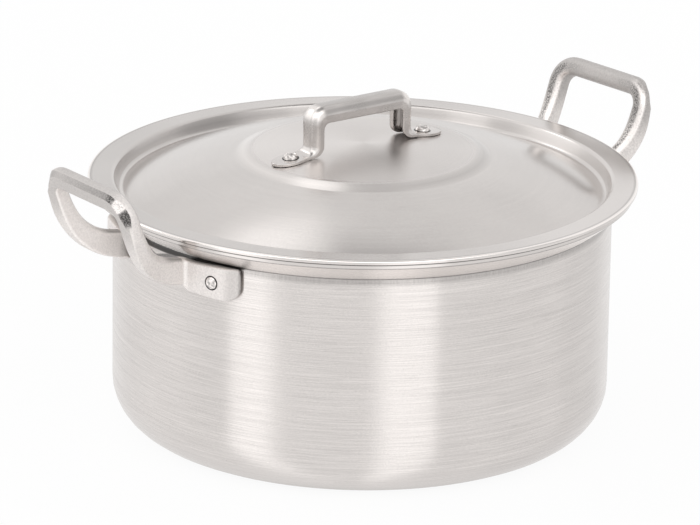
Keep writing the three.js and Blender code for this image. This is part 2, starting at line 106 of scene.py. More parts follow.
# Loop handles
HANDLE_SET_BACK = radians(2.25)
LUG_INNER_RADIUS = 150.3
LUG_THICKNESS = 6.0
LUG_MIDDLE_RADIUS = LUG_INNER_RADIUS + LUG_THICKNESS / 2
LUG_OUTER_RADIUS = LUG_INNER_RADIUS + LUG_THICKNESS
LUG_HEIGHT = 19.6
LUG_MIDDLE = 128.1
LUG_TOP = LUG_MIDDLE + LUG_HEIGHT / 2
LUG_TIP_MARGIN = 17.5
LUG_TIP_ROUND = 0.7
LUG_TIP_THINNING = 3.2
LUG_THINNED_LENGTH = 11.0
LUG_LOWER_CORNER = 8.0
LUG_UPPER_CORNER = 2.6
LUG_WAIST = 0.8
LUG_WAIST_START = 12.0
ARM_ROOT_REACH = 31.0
ARM_ROOT_THICKNESS = 7.0
ARM_ROOT_HEIGHT = 16.0
ARM_ROOT_LIFT = 2.5
ARM_ROOT_RISE = radians(5)
ARM_ROOT_PULL = 34.0
ARM_ROOT_RADIUS = sqrt(LUG_OUTER_RADIUS ** 2 - ARM_ROOT_REACH ** 2) - LUG_THICKNESS / 2
ARM_TAPER_LENGTH = 62.0
ARM_BEND_RADIUS = 6.25
ARM_REACH = 37.6
GRIP_RADIUS = 198.0
GRIP_HEIGHT = 180.4
GRIP_LEAN = radians(19)
GRIP_PULL = 30.0
GRIP_ROUND = 12.5
BAR_WIDTH = 11.4
BAR_DEPTH = 10.4
CHAMFER = 3.1
HANDLE_RIVET_REACH = 52.5
HANDLE_RIVET_ANGLE = asin(HANDLE_RIVET_REACH / LUG_OUTER_RADIUS)

# The bend from a lug into an arm turns round this spot, and ends at this length along the arm
BEND_Y = ARM_ROOT_REACH + ARM_BEND_RADIUS
BEND_X = sqrt((LUG_MIDDLE_RADIUS + ARM_BEND_RADIUS) ** 2 - BEND_Y ** 2)
BEND_ANGLE = atan2(BEND_Y, BEND_X)
BEND_END = BEND_X - ARM_ROOT_RADIUS

# Corners of a handle's bar: outer convex, inner convex, inner hollow and outer hollow, with their rounds
CHAMFERED_CORNER = 0
INNER_CORNERS = (1, 2)
HOLLOW_CORNERS = (2, 3)
LUG_ROUNDS = np.array((1.1, 0.8, 0.8, 1.1))
ARM_ROOT_ROUNDS = np.array((1.1, 0.8, 1.6, 1.6))
BAR_ROUNDS = np.array((CHAMFER, 2.2, 4.6, 4.6))

# Rivets, with heads of (radius, height, share of the radius that is flat)
RIVET_SHANK = 2.5
RIVET_PLAY = 0.3
RIVET_ROUND = 0.1
LOWER_HEAD_EDGE = 0.2
UPPER_HEAD_EDGE = 0.3
UNEVEN_START = 0.25
WAVE_SCALE = 0.55
LUMP_SCALE = 1.3
# A ring at the upper head's seat carries painted shadow
SHADE_RING_REACH = 0.7
SHADE_RING_START = -0.05
SHADE_RING_RISE = 0.1
SHADE_RING_INNER_RISE = 0.12
SHADE_RING_ROUND = 0.03
WALL_RIVET_HEADS = ((5.5, 2.0, 0.7), (3.7, 0.9, 0.8))
WALL_RIVET_UNEVENNESS = 0.3
STRAP_RIVET_HEADS = ((5.0, 1.6, 0.7), (4.4, 2.8, 0.88))
STRAP_RIVET_UNEVENNESS = 1.6

# Fineness of the meshes
TURN_STEPS = 256
RIVET_TURN_STEPS = 64
STEPS_PER_RADIAN = 6
LEAST_ARC_STEPS = 3
DOME_POINTS = 28
CROWN_POINTS = 15
ARM_LINE_POINTS = 801
LUG_TIP_PLACES = (0.0, 0.25, 0.7, 1.3, 2.0, 2.8, 4.0, 5.5, 7.0, 8.2)
LUG_TIP_LENGTH = 10.0
BEND_CLEARANCE = 0.8
BAR_ARC_SHARES = (0.0, 0.07, 0.22, 0.41, 0.59, 0.78, 0.93, 1.0)
BAR_ARC_MARGIN = 0.3
STRAP_FLANK_SHARES = (0.08, 0.9, 1.0)
STRAP_ARC_POINTS = 7

# The largest shares of a straight, of half a bar and of the strap's depth that a round takes up
LONGEST_CUT = 0.49
LARGEST_BAR_ROUND = 0.94
LARGEST_STRAP_ROUND = 0.8


def mesh_object(name, points, faces, material):
    """A smooth mesh from points in millimetres."""
    mesh = bpy.data.meshes.new(name)
    mesh.from_pydata((np.asarray(points) * MM).tolist(), [], faces)
    mesh.validate()
    mesh.shade_smooth()
    mesh.materials.append(material)
    shape = bpy.data.objects.new(name, mesh)
    bpy.context.scene.collection.objects.link(shape)
    return shape


def mark_points(shape, name, values):
    """A named value for each point of a mesh, for its material to read."""
    attribute = shape.data.attributes.new(name, "FLOAT", "POINT")
    attribute.data.foreach_set("value", np.array(values, np.float32))


def eased(value, start, end):
    """0 before start, 1 after end, and an even rise between them."""
    share = min(max((value - start) / (end - start), 0.0), 1.0)
    return share * share * (3 - 2 * share)


def hump(value, rise_start, rise_end, fall_start, fall_end):
    """Rises to 1, stays there and falls back to 0."""
    return eased(value, rise_start, rise_end) * (1 - eased(value, fall_start, fall_end))


def mixed(a, b, share):
    """A value between a and b."""
    return a + (b - a) * share


def towards(angle):
    """The direction at an angle from the first axis of a plane."""
    return np.array((cos(angle), sin(angle)))


def bezier(controls, share):
    """The point at a share of the curve that runs from the first to the last of its control points."""
    points = np.array(controls, float)
    while len(points) > 1:
        points = mixed(points[:-1], points[1:], share)
    return points[0]


def skin_faces(ring_count, points_per_ring):
    """Quads between rings that follow each other, with both ends filled."""
    faces = []
    for ring in range(ring_count - 1):
        low = ring * points_per_ring
        high = low + points_per_ring
        for i in range(points_per_ring):
            j = (i + 1) % points_per_ring
            faces.append((low + i, low + j, high + j, high + i))
    last = (ring_count - 1) * points_per_ring
    faces.append(tuple(reversed(range(points_per_ring))))
    faces.append(tuple(range(last, last + points_per_ring)))
    return faces


def rounded_line(corners):
    """A line of corners (x, y, round): each is an arc, with a point beside it on each straight."""
    line = []
    last = len(corners) - 1
    for i, (x, y, size) in enumerate(corners):
        here = np.array((x, y), float)
        if size == 0 or i in (0, last):
            line.append(here)
            continue
        before = np.array(corners[i - 1][:2], float) - here
        after = np.array(corners[i + 1][:2], float) - here
        reach_before = np.linalg.norm(before)
        reach_after = np.linalg.norm(after)
        before /= reach_before
        after /= reach_after
        half = acos(np.clip(before @ after, -1, 1)) / 2
        cut = min(size / tan(half), LONGEST_CUT * reach_before, LONGEST_CUT * reach_after)
        radius = cut * tan(half)
        middle = before + after
        centre = here + middle / np.linalg.norm(middle) * radius / sin(half)
        start = here + before * cut
        end = here + after * cut
        beside = min(0.25 * cut + 0.15, reach_before - cut, reach_after - cut) / 2
        turn = pi - 2 * half
        steps = max(LEAST_ARC_STEPS, round(STEPS_PER_RADIAN * turn))
        line.append(start + before * beside)
        for angle in np.linspace(0, turn, steps + 1):
            on_arc = sin(turn - angle) * (start - centre) + sin(angle) * (end - centre)
            line.append(centre + on_arc / sin(turn))
        line.append(end + after * beside)
    return np.array(line)


def turned(name, profile, material, steps=TURN_STEPS):
    """A profile of (radius, height) from axis to axis, turned round Z."""
    profile = np.asarray(profile, float)
    inner = profile[1:-1]
    angles = np.arange(steps) * 2 * pi / steps
    points = [(0, 0, profile[0][1])]
    for radius, height in inner:
        points.extend(zip(radius * np.cos(angles), radius * np.sin(angles), np.full(steps, height)))
    points.append((0, 0, profile[-1][1]))
    top = 1 + (len(inner) - 1) * steps
    faces = []
    for i in range(steps):
        j = (i + 1) % steps
        faces.append((0, 1 + j, 1 + i))
        for low in range(1, top, steps):
            faces.append((low + i, low + j, low + steps + j, low + steps + i))
        faces.append((top + i, top + j, len(points) - 1))
    return mesh_object(name, points, faces, material)


# Materials

# The slightly warm tint of the aluminium, and the turn of its brushing
TINT = (1.0, 0.948, 0.917)
BRUSH_TURN = 0.25


def tone(level):
    """A grey of the aluminium's tint."""
    return tuple(level * part for part in TINT)


def metres(*lengths):
    """Lengths in metres, from millimetres."""
    return [length * MM for length in lengths]


def stretch(place, start, end):
    """A stretch that starts and ends at distances from a place."""
    return place + start, place + end


class Nodes:
    """Short ways to add shader nodes to a node tree."""

    def __init__(self, tree):
        self.tree = tree
        tree.nodes.clear()

    def feed(self, socket, value):
        """Links another socket to a socket, or sets its value."""
        if isinstance(value, bpy.types.NodeSocket):
            self.tree.links.new(value, socket)
        else:
            socket.default_value = value

    def add(self, kind, links=None, **settings):
        node = self.tree.nodes.new("ShaderNode" + kind)
        for key, value in settings.items():
            setattr(node, key, value)
        for key, value in (links or {}).items():
            self.feed(node.inputs[key], value)
        return node

    def place(self):
        return self.add("TexCoord").outputs["Object"]

    def axes(self, vector):
        return self.add("SeparateXYZ", {"Vector": vector}).outputs

    def mark(self, name):
        """A value that the points of the mesh carry."""
        return self.add("Attribute", attribute_name=name).outputs["Fac"]

    def math(self, operation, a, b=0.0):
        return self.add("Math", {0: a, 1: b}, operation=operation).outputs[0]

    def times(self, a, b):
        return self.math("MULTIPLY", a, b)

    def plus(self, a, b):
        return self.math("ADD", a, b)

    def minus(self, a, b):
        return self.math("SUBTRACT", a, b)

    def weighted(self, *pairs):
        """The sum of some values, each times its weight."""
        total, *others = (self.times(value, weight) for value, weight in pairs)
        for other in others:
            total = self.plus(total, other)
        return total

    def largest(self, top, *others):
        for other in others:
            top = self.math("MAXIMUM", top, other)
        return top

    def ramp(self, value, low, high, to_low=0.0, to_high=1.0, kind="LINEAR"):
        links = {"Value": value, "From Min": low, "From Max": high, "To Min": to_low, "To Max": to_high}
        return self.add("MapRange", links, interpolation_type=kind).outputs["Result"]

    def along(self, distance, start, end, to_low=0.0, to_high=1.0):
        """A ramp over a distance, from a start to an end in millimetres."""
        return self.ramp(distance, *metres(start, end), to_low, to_high)

    def band(self, distance, middle, reach, peak):
        """Peak at a middle distance, falling to 0 at a reach to both sides, in millimetres."""
        rise = self.along(distance, middle - reach, middle, 0.0, peak)
        fall = self.along(distance, middle, middle + reach, peak, 0.0)
        return self.math("MINIMUM", rise, fall)

    def noise(self, vector, scale, detail=2.0, roughness=0.5):
        """Noise of one scale, or of a scale along each axis."""
        if isinstance(scale, tuple):
            vector = self.add("Mapping", {"Vector": vector, "Scale": scale}).outputs["Vector"]
            scale = 1.0
        links = {"Vector": vector, "Scale": scale, "Detail": detail, "Roughness": roughness}
        return self.add("TexNoise", links).outputs["Fac"]

    def blend(self, share, first, second):
        """A colour between two colours, each a socket or a tuple."""
        node = self.add("Mix", data_type="RGBA")
        sockets = [socket for socket in node.inputs if socket.enabled]
        for socket, value in zip(sockets, (share, first, second)):
            self.feed(socket, (*value, 1.0) if isinstance(value, tuple) else value)
        return [socket for socket in node.outputs if socket.enabled][0]


def new_material(name):
    material = bpy.data.materials.new(name)
    material.use_nodes = True
    return material, Nodes(material.node_tree)


def finish_metal(nodes, base, roughness, relief, relief_depth, anisotropy=0.0, metallic=1.0):
    """A metal surface with its relief in millimetres, and brushing round the Z axis if it is asked for."""
    links = {"Base Color": base, "Roughness": roughness, "Metallic": metallic}
    bump = nodes.add("Bump", {"Strength": 1.0, "Distance": relief_depth * MM, "Height": relief})
    links["Normal"] = bump.outputs["Normal"]
    if anisotropy:
        tangent = nodes.add("Tangent", direction_type="RADIAL", axis="Z")
        links["Tangent"] = tangent.outputs["Tangent"]
        links["Anisotropic"] = anisotropy
        links["Anisotropic Rotation"] = BRUSH_TURN
    shader = nodes.add("BsdfPrincipled", links)
    nodes.add("OutputMaterial", {"Surface": shader.outputs["BSDF"]})


# The lining of the pot, which is less tinted
LINING_DARK = (0.84, 0.825, 0.81)
LINING_LIGHT = (0.95, 0.935, 0.92)

# Marks on the pot's wall, as heights, or for lines as a height and a reach; the foot, under-rim, crease, edge
# and seam marks place painted shade
EVEN_CORNER_END = (6.0, 18.0)
FOOT_SHADE_END = (0.8, 7.0)
FOOT_LINE_END = (1.2, 2.8)
UNDER_RIM_START = stretch(CREASE_HEIGHT, -4.9, -2.2)
UNDER_RIM_END = stretch(CREASE_HEIGHT, 0.0, 0.4)
CREASE_LINE = (CREASE_HEIGHT + 0.1, 0.5)
RIM_START = stretch(CREASE_HEIGHT, 0.4, 1.2)
INNER_RIM_START = stretch(CREASE_HEIGHT, 1.6, 2.6)
EDGE_LINE = (RIM_EDGE_HEIGHT - 0.2, 0.6)
BRIM_START = stretch(RIM_EDGE_HEIGHT, -0.3, 0.1)
SEAM_SHADE_START = stretch(RIM_TOP, -1.5, -1.0)

# Painted shade behind a handle: a shadow gap over its lugs and a shaded wedge between its arms, with angles
# from its middle
GAP_ANGLES = (radians(4), radians(25.5))
GAP_FLOOR = stretch(LUG_TOP, -2.7, -0.5)
GAP_FLOOR_FADE = (-0.4, 0.3)
GAP_END = stretch(CREASE_HEIGHT, 0.6, 1.2)
GAP_SIDE = stretch(GAP_ANGLES[1], 0.0, 0.04)
WEDGE_ANGLES = (0.0, radians(7))
WEDGE_ROOF = stretch(LUG_TOP, -5.7, -0.4)
WEDGE_ROOF_FADE = (-0.6, 0.4)
WEDGE_FLOOR = stretch(LUG_MIDDLE, -9.1, -4.1)
WEDGE_SIDE = (radians(11), radians(16))


def painted_wall_shade(nodes, place, axes):
    """Painted shade: darker lines at the folds of the wall, darker towards the bottom, and dark places behind
    the handles.
    """
    height = axes["Z"]
    ticks = nodes.noise(place, (1900, 1900, 90), 1.0)
    # painted shadow of the rim below the crease, broken by fine ticks
    under = nodes.times(nodes.along(height, *UNDER_RIM_START), nodes.along(height, *UNDER_RIM_END, 1.0, 0.0))
    under = nodes.times(under, nodes.ramp(ticks, 0.3, 0.7, 0.24, 0.36))
    # painted shade lines in the crease, at the rim's edge, and across the rim's top under the lid's lip
    crease = nodes.band(height, *CREASE_LINE, 0.85)
    edge = nodes.band(height, *EDGE_LINE, 0.6)
    seam_shade = nodes.along(height, *SEAM_SHADE_START, 0.0, 0.9)
    # painted shade, darker towards the bottom of the wall
    foot_shade = nodes.along(height, *FOOT_SHADE_END, 0.3, 0.0)
    foot_line = nodes.along(height, *FOOT_LINE_END, 0.65, 0.0)
    # painted shadow gap over the lugs, and painted shade in a wedge between the arms
    aside = nodes.math("ARCTAN2", axes["Y"], nodes.math("ABSOLUTE", axes["X"]))
    aside = nodes.math("ABSOLUTE", nodes.minus(aside, HANDLE_SET_BACK))
    gap_floor = nodes.ramp(aside, *GAP_ANGLES, *metres(*GAP_FLOOR))
    gap = nodes.along(nodes.minus(height, gap_floor), *GAP_FLOOR_FADE, 0.0, 0.95)
    gap = nodes.times(gap, nodes.along(height, *GAP_END, 1.0, 0.0))
    gap = nodes.times(gap, nodes.ramp(aside, *GAP_SIDE, 1.0, 0.0))
    wedge_roof = nodes.ramp(aside, *WEDGE_ANGLES, *metres(*WEDGE_ROOF))
    wedge = nodes.along(nodes.minus(height, wedge_roof), *WEDGE_ROOF_FADE, 0.7, 0.0)
    wedge = nodes.times(wedge, nodes.along(height, *WEDGE_FLOOR))
    wedge = nodes.times(wedge, nodes.ramp(aside, *WEDGE_SIDE, 1.0, 0.0))
    return nodes.largest(under, crease, edge, seam_shade, foot_shade, foot_line, gap, wedge)


def brushed_metal(name):
    """Spun and brushed round the pot, so that fine lines run level round the wall."""
    material, nodes = new_material(name)
    place = nodes.place()
    axes = nodes.axes(place)
    height = axes["Z"]
    fine = nodes.noise(place, (24, 24, 2000), 2.0, 0.6)
    broad = nodes.noise(place, (9, 9, 600))
    streaks = nodes.weighted((fine, 0.88), (broad, 0.12))
    grain = nodes.noise(place, 1500.0, 1.0)
    cloud = nodes.noise(place, 26.0)
    shade = nodes.weighted((streaks, 0.6), (grain, 0.3), (cloud, 0.1))
    brushing = nodes.ramp(shade, 0.34, 0.66)
    wall = nodes.blend(brushing, tone(0.605), tone(0.785))
    scratches = nodes.ramp(nodes.noise(place, (70, 70, 1500), 1.0), 0.66, 0.76, 0.0, 0.2)
    wall = nodes.blend(scratches, wall, tone(0.4))
    wall = nodes.blend(nodes.along(height, *EVEN_CORNER_END, 0.85, 0.0), wall, tone(0.7))
    rim = nodes.blend(nodes.ramp(fine, 0.35, 0.65), tone(0.92), tone(1.0))
    wall = nodes.blend(nodes.along(height, *RIM_START), wall, rim)
    wall = nodes.blend(nodes.along(height, *BRIM_START), wall, tone(0.7))
    lining = nodes.blend(brushing, LINING_DARK, LINING_LIGHT)
    lining = nodes.blend(nodes.along(height, *INNER_RIM_START), lining, tone(0.68))
    inside = nodes.mark("inside")
    wall = nodes.blend(inside, wall, lining)
    # painted shade at the folds and behind the handles, kept off the lining
    painted_shade = nodes.times(painted_wall_shade(nodes, place, axes), nodes.minus(1.0, inside))
    base = nodes.blend(painted_shade, wall, tone(0.04))
    roughness = nodes.ramp(streaks, 0.3, 0.7, 0.28, 0.23)
    finish_metal(nodes, base, roughness, streaks, relief_depth=0.03, anisotropy=0.97)
    return material


# Marks on the lid, as distances from its axis, or for lines as a distance and a reach: where painted
# highlights and shade go on the disc, step, flange, groove, bead and lip
DISC_END = stretch(DISC_RADIUS, -2.8, -0.8)
STEP_LINE = ((DISC_RADIUS + STEP_RADIUS) / 2, 5.5)
GROOVE_LINE = (FLANGE_RADIUS - 1.7, 2.4)
SHEEN_FLANGE_START = stretch(FLANGE_RADIUS, -5.5, -3.0)
FLAT_FLANGE_START = stretch(FLANGE_RADIUS, 0.0, 2.0)
BEAD_LINE = (LID_RADIUS - 1.85, 1.3)
LIP_START = stretch(LID_RADIUS, -1.75, -1.35)
LIP_EDGE_START = stretch(LID_RADIUS, -0.15, -0.05)

# Painted highlights and shade change across the lid along one way, and these marks set where, as distances
# from the axis along that way
PAINTED_LIGHT_AXIS = (0.78, -0.63, 0.0)
DISC_HIGHLIGHT_END = (0.0, 50.0)
STEP_LIGHT_CHANGE = (-36.0, 36.0)
GROOVE_SHADE_FADE = (0.0, 120.0)
FLANGE_SHEEN_START = (50.0, 130.0)
FLANGE_SHADE_END = (-140.0, -80.0)


def satin_metal(name):
    """Finely turned sheet with a soft sheen, and painted highlights and shade that change across it."""
    material, nodes = new_material(name)
    place = nodes.place()
    axes = nodes.axes(place)
    level = nodes.add("CombineXYZ", {"X": axes["X"], "Y": axes["Y"]}).outputs["Vector"]
    radius = nodes.add("VectorMath", {0: level}, operation="LENGTH").outputs["Value"]
    sideways = nodes.add("VectorMath", {0: level, 1: PAINTED_LIGHT_AXIS}, operation="DOT_PRODUCT")
    along_painted_light = sideways.outputs["Value"]
    rings = nodes.add("CombineXYZ", {
        "X": nodes.times(radius, 900.0),
        "Y": nodes.times(axes["X"], 8.0),
        "Z": nodes.times(axes["Y"], 8.0),
    }).outputs["Vector"]
    lines = nodes.noise(rings, 1.0, 3.0, 0.55)
    grain = nodes.noise(place, 900.0)
    cloud = nodes.noise(place, 18.0)
    shade = nodes.weighted((lines, 0.15), (grain, 0.25), (cloud, 0.4))
    base = nodes.blend(nodes.ramp(shade, 0.28, 0.52), tone(0.6), tone(0.67))
    disc = nodes.along(radius, *DISC_END, 1.0, 0.0)
    # painted highlight on one side of the raised disc
    disc_highlight = nodes.times(disc, nodes.along(along_painted_light, *DISC_HIGHLIGHT_END, 0.4, 0.0))
    base = nodes.blend(disc_highlight, base, tone(0.82))
    # painted highlight on the step on one side, painted shade on the other
    step_light = nodes.blend(nodes.along(along_painted_light, *STEP_LIGHT_CHANGE), tone(0.76), tone(0.53))
    base = nodes.blend(nodes.band(radius, *STEP_LINE, 1.0), base, step_light)
    # painted sheen on the outer flange towards one side
    painted_light = nodes.along(along_painted_light, *FLANGE_SHEEN_START, 0.0, 0.42)
    base = nodes.blend(nodes.times(nodes.along(radius, *SHEEN_FLANGE_START), painted_light), base, tone(0.8))
    # painted shade on the flat flange on the other side
    flange_shade = nodes.along(along_painted_light, *FLANGE_SHADE_END, 0.4, 0.0)
    base = nodes.blend(nodes.times(nodes.along(radius, *FLAT_FLANGE_START), flange_shade), base, tone(0.45))
    # painted shade in the groove, fading towards one side
    groove = nodes.along(along_painted_light, *GROOVE_SHADE_FADE, 1.0, 0.3)
    base = nodes.blend(nodes.times(nodes.band(radius, *GROOVE_LINE, 0.4), groove), base, tone(0.2))
    # painted highlight on the lip's rounding
    lip_highlight = nodes.along(radius, *LIP_START)
    base = nodes.blend(lip_highlight, base, tone(0.95))
    # painted shade lines at the bead and at the lip's edge
    bead_shade = nodes.band(radius, *BEAD_LINE, 0.42)
    lip_edge_shade = nodes.along(radius, *LIP_EDGE_START, 0.0, 0.3)
    base = nodes.blend(nodes.largest(bead_shade, lip_edge_shade), base, tone(0.2))
    roughness = nodes.ramp(shade, 0.28, 0.52, 0.24, 0.2)
    roughness = nodes.weighted((roughness, 1.0), (lip_highlight, -0.08), (disc, 0.09))
    relief = nodes.weighted((lines, 0.2), (grain, 0.8))
    finish_metal(nodes, base, roughness, relief, relief_depth=0.006, anisotropy=0.7)
    return material


# The strap is paler towards its feet, from the end of this stretch of height
PALE_LEG_END = stretch(DISC_HEIGHT, 15.3, 29.3)


def pressed_metal(name):
    """Smooth pressed sheet with drawing marks, light where it is marked bare and where a highlight is
    painted, with painted shade inside its legs.
    """
    material, nodes = new_material(name)
    place = nodes.place()
    drawn = nodes.noise(place, (60, 900, 200))
    cloud = nodes.noise(place, 60.0, 3.0)
    shade = nodes.weighted((drawn, 0.5), (cloud, 0.5))
    base = nodes.blend(nodes.ramp(shade, 0.3, 0.7), tone(0.46), tone(0.58))
    pale = nodes.along(nodes.axes(place)["Z"], *PALE_LEG_END, 0.5, 0.0)
    base = nodes.blend(pale, base, tone(0.78))
    # bare metal inside the grip, and a painted highlight on the upper bends
    base = nodes.blend(nodes.mark("bare_and_highlight"), base, tone(0.95))
    # painted shade inside the channel of the legs
    base = nodes.blend(nodes.times(nodes.mark("inside"), 0.5), base, tone(0.12))
    roughness = nodes.ramp(shade, 0.3, 0.7, 0.3, 0.22)
    finish_metal(nodes, base, roughness, shade, relief_depth=0.03)
    return material


# The handles' marks: ground strip, painted dark reflection on the strip, polish with a painted highlight,
# painted shade, painted dark speckles, and painted light on pale faces
HANDLE_MARKS = ("ground", "strip_shade", "polish_and_highlight", "shade", "speckle", "pale")


def cast_metal(name):
    """Sand cast metal, matte and grainy, with ground and polished places, painted highlights, painted shade
    and dark speckles, and faces paler with painted light.
    """
    material, nodes = new_material(name)
    place = nodes.place()
    ground, strip_shade, polish_and_highlight, shade, speckle, pale = (nodes.mark(mark) for mark in HANDLE_MARKS)
    grain = nodes.noise(place, 950.0, 4.0, 0.6)
    lumps = nodes.noise(place, 160.0, 3.0)
    even = nodes.ramp(grain, 0.3, 0.7)
    skin = nodes.blend(even, tone(0.69), tone(0.89))
    # painted light on the pale faces
    skin = nodes.blend(pale, skin, nodes.blend(even, tone(0.84), tone(1.0)))
    # painted dark reflection on the ground strip
    strip = nodes.blend(strip_shade, tone(0.46), tone(0.2))
    strip = nodes.blend(nodes.ramp(grain, 0.4, 0.65, 0.0, 0.4), strip, tone(0.6))
    base = nodes.blend(ground, skin, strip)
    # painted shade
    base = nodes.blend(shade, base, tone(0.14))
    # painted highlight where the bar is polished
    shine = nodes.times(polish_and_highlight, nodes.ramp(grain, 0.36, 0.52, 0.45, 1.0))
    base = nodes.blend(shine, base, tone(0.95))
    # painted dark speckles
    specks = nodes.ramp(nodes.noise(place, 1300.0, 2.0, 0.6), 0.42, 0.56)
    base = nodes.blend(nodes.times(speckle, specks), base, tone(0.06))
    worked = nodes.largest(ground, polish_and_highlight)
    roughness = nodes.ramp(worked, 0.0, 1.0, 0.5, 0.3)
    metallic = nodes.ramp(worked, 0.0, 1.0, 0.5, 1.0)
    relief = nodes.weighted((grain, 0.5), (lumps, 0.5))
    finish_metal(nodes, base, roughness, relief, relief_depth=0.2, metallic=metallic)
    return material


def rivet_metal(name):
    """Peened soft metal with hammer marks and dark crevices, and painted shadow where a head meets its seat.
    """
    material, nodes = new_material(name)
    dents = nodes.noise(nodes.place(), 520.0, 3.0)
    bright = nodes.blend(nodes.ramp(dents, 0.38, 0.6), tone(0.4), tone(0.95))
    # painted shadow where the upper head meets its seat
    base = nodes.blend(nodes.mark("gap_shade"), bright, tone(0.03))
    roughness = nodes.ramp(dents, 0.35, 0.65, 0.36, 0.24)
    finish_metal(nodes, base, roughness, dents, relief_depth=0.4)
    return material


WALL_METAL = brushed_metal("brushed_aluminium")
LID_METAL = satin_metal("satin_aluminium")
STRAP_METAL = pressed_metal("pressed_aluminium")
CAST_METAL = cast_metal("cast_aluminium")
RIVET_METAL = rivet_metal("rivet_aluminium")


# Pot body

# How far a surface faces up or inwards where the lining fades in
LINING_FADE = (-0.2, 0.2)


def pot_shell():
    """The pot's wall and base, with its inside marked."""
    slope = (RIM_EDGE_HEIGHT - CREASE_HEIGHT) / (RIM_RADIUS - POT_RADIUS)
    inner_radius = POT_RADIUS - POT_WALL
    rim_inner = RIM_RADIUS - RIM_FLAT
    inner_crease = RIM_TOP - (rim_inner - inner_radius) * slope
    profile = rounded_line([
        (0, 0, 0),
        (POT_RADIUS, 0, BASE_ROUND),
        (POT_RADIUS, CREASE_HEIGHT, CREASE_ROUND),
        (RIM_RADIUS, RIM_EDGE_HEIGHT, RIM_ROUND * 2),
        (RIM_RADIUS, RIM_TOP, RIM_ROUND),
        (rim_inner, RIM_TOP, RIM_ROUND),
        (inner_radius, inner_crease, CREASE_ROUND),
        (inner_radius, BASE_THICKNESS, BASE_ROUND - BASE_THICKNESS),
        (0, BASE_THICKNESS, 0),
    ])
    shape = turned("pot_shell", profile, WALL_METAL)
    inside = []
    for point in shape.data.vertices:
        away = Vector((point.co.x, point.co.y, 0)).normalized()
        inside.append(eased(point.normal.z - point.normal.dot(away), *LINING_FADE))
    mark_points(shape, "inside", inside)
    return shape


# Lid panel


def crown_height(radius):
    """Height of the raised disc above its edge, at a distance from the lid's axis."""
    return DISC_CROWN * (1 - (radius / DISC_RADIUS) ** 2)


def crown_slope(radius):
    """How steeply the raised disc falls away there."""
    return atan(2 * DISC_CROWN * radius / DISC_RADIUS ** 2)


def lid_sheet():
    """The lid's panel: its upper side from the axis to the lip, and its underside back to the axis."""
    groove_radius = FLANGE_RADIUS - RECESS_SLANT
    groove = LID_SHEET - RECESS_DEPTH
    step_foot = groove + DOME_RISE
    disc = step_foot + STEP_RISE
    shoulder_radius = (STEP_RADIUS + groove_radius) / 2
    shoulder = step_foot - tan(DOME_EDGE_SLOPE) * (shoulder_radius - STEP_RADIUS)
    controls = ((STEP_RADIUS, step_foot), (shoulder_radius, shoulder), (groove_radius, groove))
    dome = [bezier(controls, share) for share in np.linspace(0, 1, DOME_POINTS)]
    crown_radii = np.linspace(0, DISC_RADIUS, CROWN_POINTS)[:-1]
    crown = [(radius, disc + crown_height(radius)) for radius in crown_radii]
    lip_inner = LID_RADIUS - LIP_WALL
    lip_bottom = LID_SHEET - LIP_DEPTH
    profile = rounded_line([
        *((*spot, 0) for spot in crown),
        (DISC_RADIUS, disc, DISC_EDGE_ROUND),
        (*dome[0], STEP_FOOT_ROUND),
        *((*spot, 0) for spot in dome[2:-2]),
        (*dome[-1], GROOVE_ROUND),
        (FLANGE_RADIUS, LID_SHEET, FLANGE_ROUND),
        (LID_RADIUS, LID_SHEET, LIP_ROUND),
        (LID_RADIUS, lip_bottom, LIP_EDGE_ROUND),
        (lip_inner, lip_bottom, LIP_INNER_EDGE_ROUND),
        (lip_inner, 0, LIP_ROOT_ROUND),
        (FLANGE_RADIUS + UNDERSIDE_FLANGE_SHIFT, 0, FLANGE_ROUND),
        (groove_radius + UNDERSIDE_GROOVE_SHIFT, groove - LID_SHEET, GROOVE_ROUND),
        *((x - UNDERSIDE_DOME_SHIFT, y - UNDERSIDE_DOME_DROP, 0) for x, y in reversed(dome[2:-2])),
        (STEP_RADIUS, step_foot - LID_SHEET, STEP_FOOT_ROUND),
        (DISC_RADIUS, disc - LID_SHEET, DISC_EDGE_ROUND),
        *((radius, height - LID_SHEET, 0) for radius, height in reversed(crown)),
    ])
    profile[:, 1] += LID_SEAT
    return turned("lid_sheet", profile[::-1], LID_METAL)


# Loop handles

# How strong the painted shade is on a handle's faces, and on the sides of its arms; where it is below 1, the
# sides of the arms also get painted light
HANDLE_SHADES = {"right": (1.5, 1.5), "left": (1.1, 0.0)}

# Painted shade on a lug, as distances from its tip
TIP_LINE = (0.0, 0.25, 0.5, 1.0)
TIP_SHADE_END = (5.0, 11.0)
WALL_SHADE = 0.8

# Painted highlights and shade, and the rounding of the hollow side, on the bend into an arm, as shares of it,
# and then on the arm, as lengths from its root
FILLET_HIGHLIGHT = (0.1, 0.3, 0.6, 0.9)
HOLLOW_START = (4.0, 34.0)
ROOT_SHADE_END = (14.0, 26.0)
STREAK_START = (22.0, 34.0)
UPPER_SHADE_START = (40.0, 62.0)

# Where the arm starts, and wear and shape round the corner from the grip to an arm, as lengths past the end
# of the straight grip: the ground chamfer and its chip, with a painted highlight and painted dark speckles on
# the chip
ARM_START = (1.0, 7.0)
GROUND_END = (17.5, 20.5)
CHAMFER_END = (15.0, 36.0)
CHIP = (4.5, 9.5, 15.0, 19.0)
CHIP_GROWTH = 0.5
CHIP_HIGHLIGHT = (4.5, 6.5, 11.0, 12.5)
SPECKLES_BEFORE_CHIP = (0.5, 2.0, 4.5, 6.5)
SPECKLES_AFTER_CHIP = (11.5, 12.5, 17.5, 19.5)

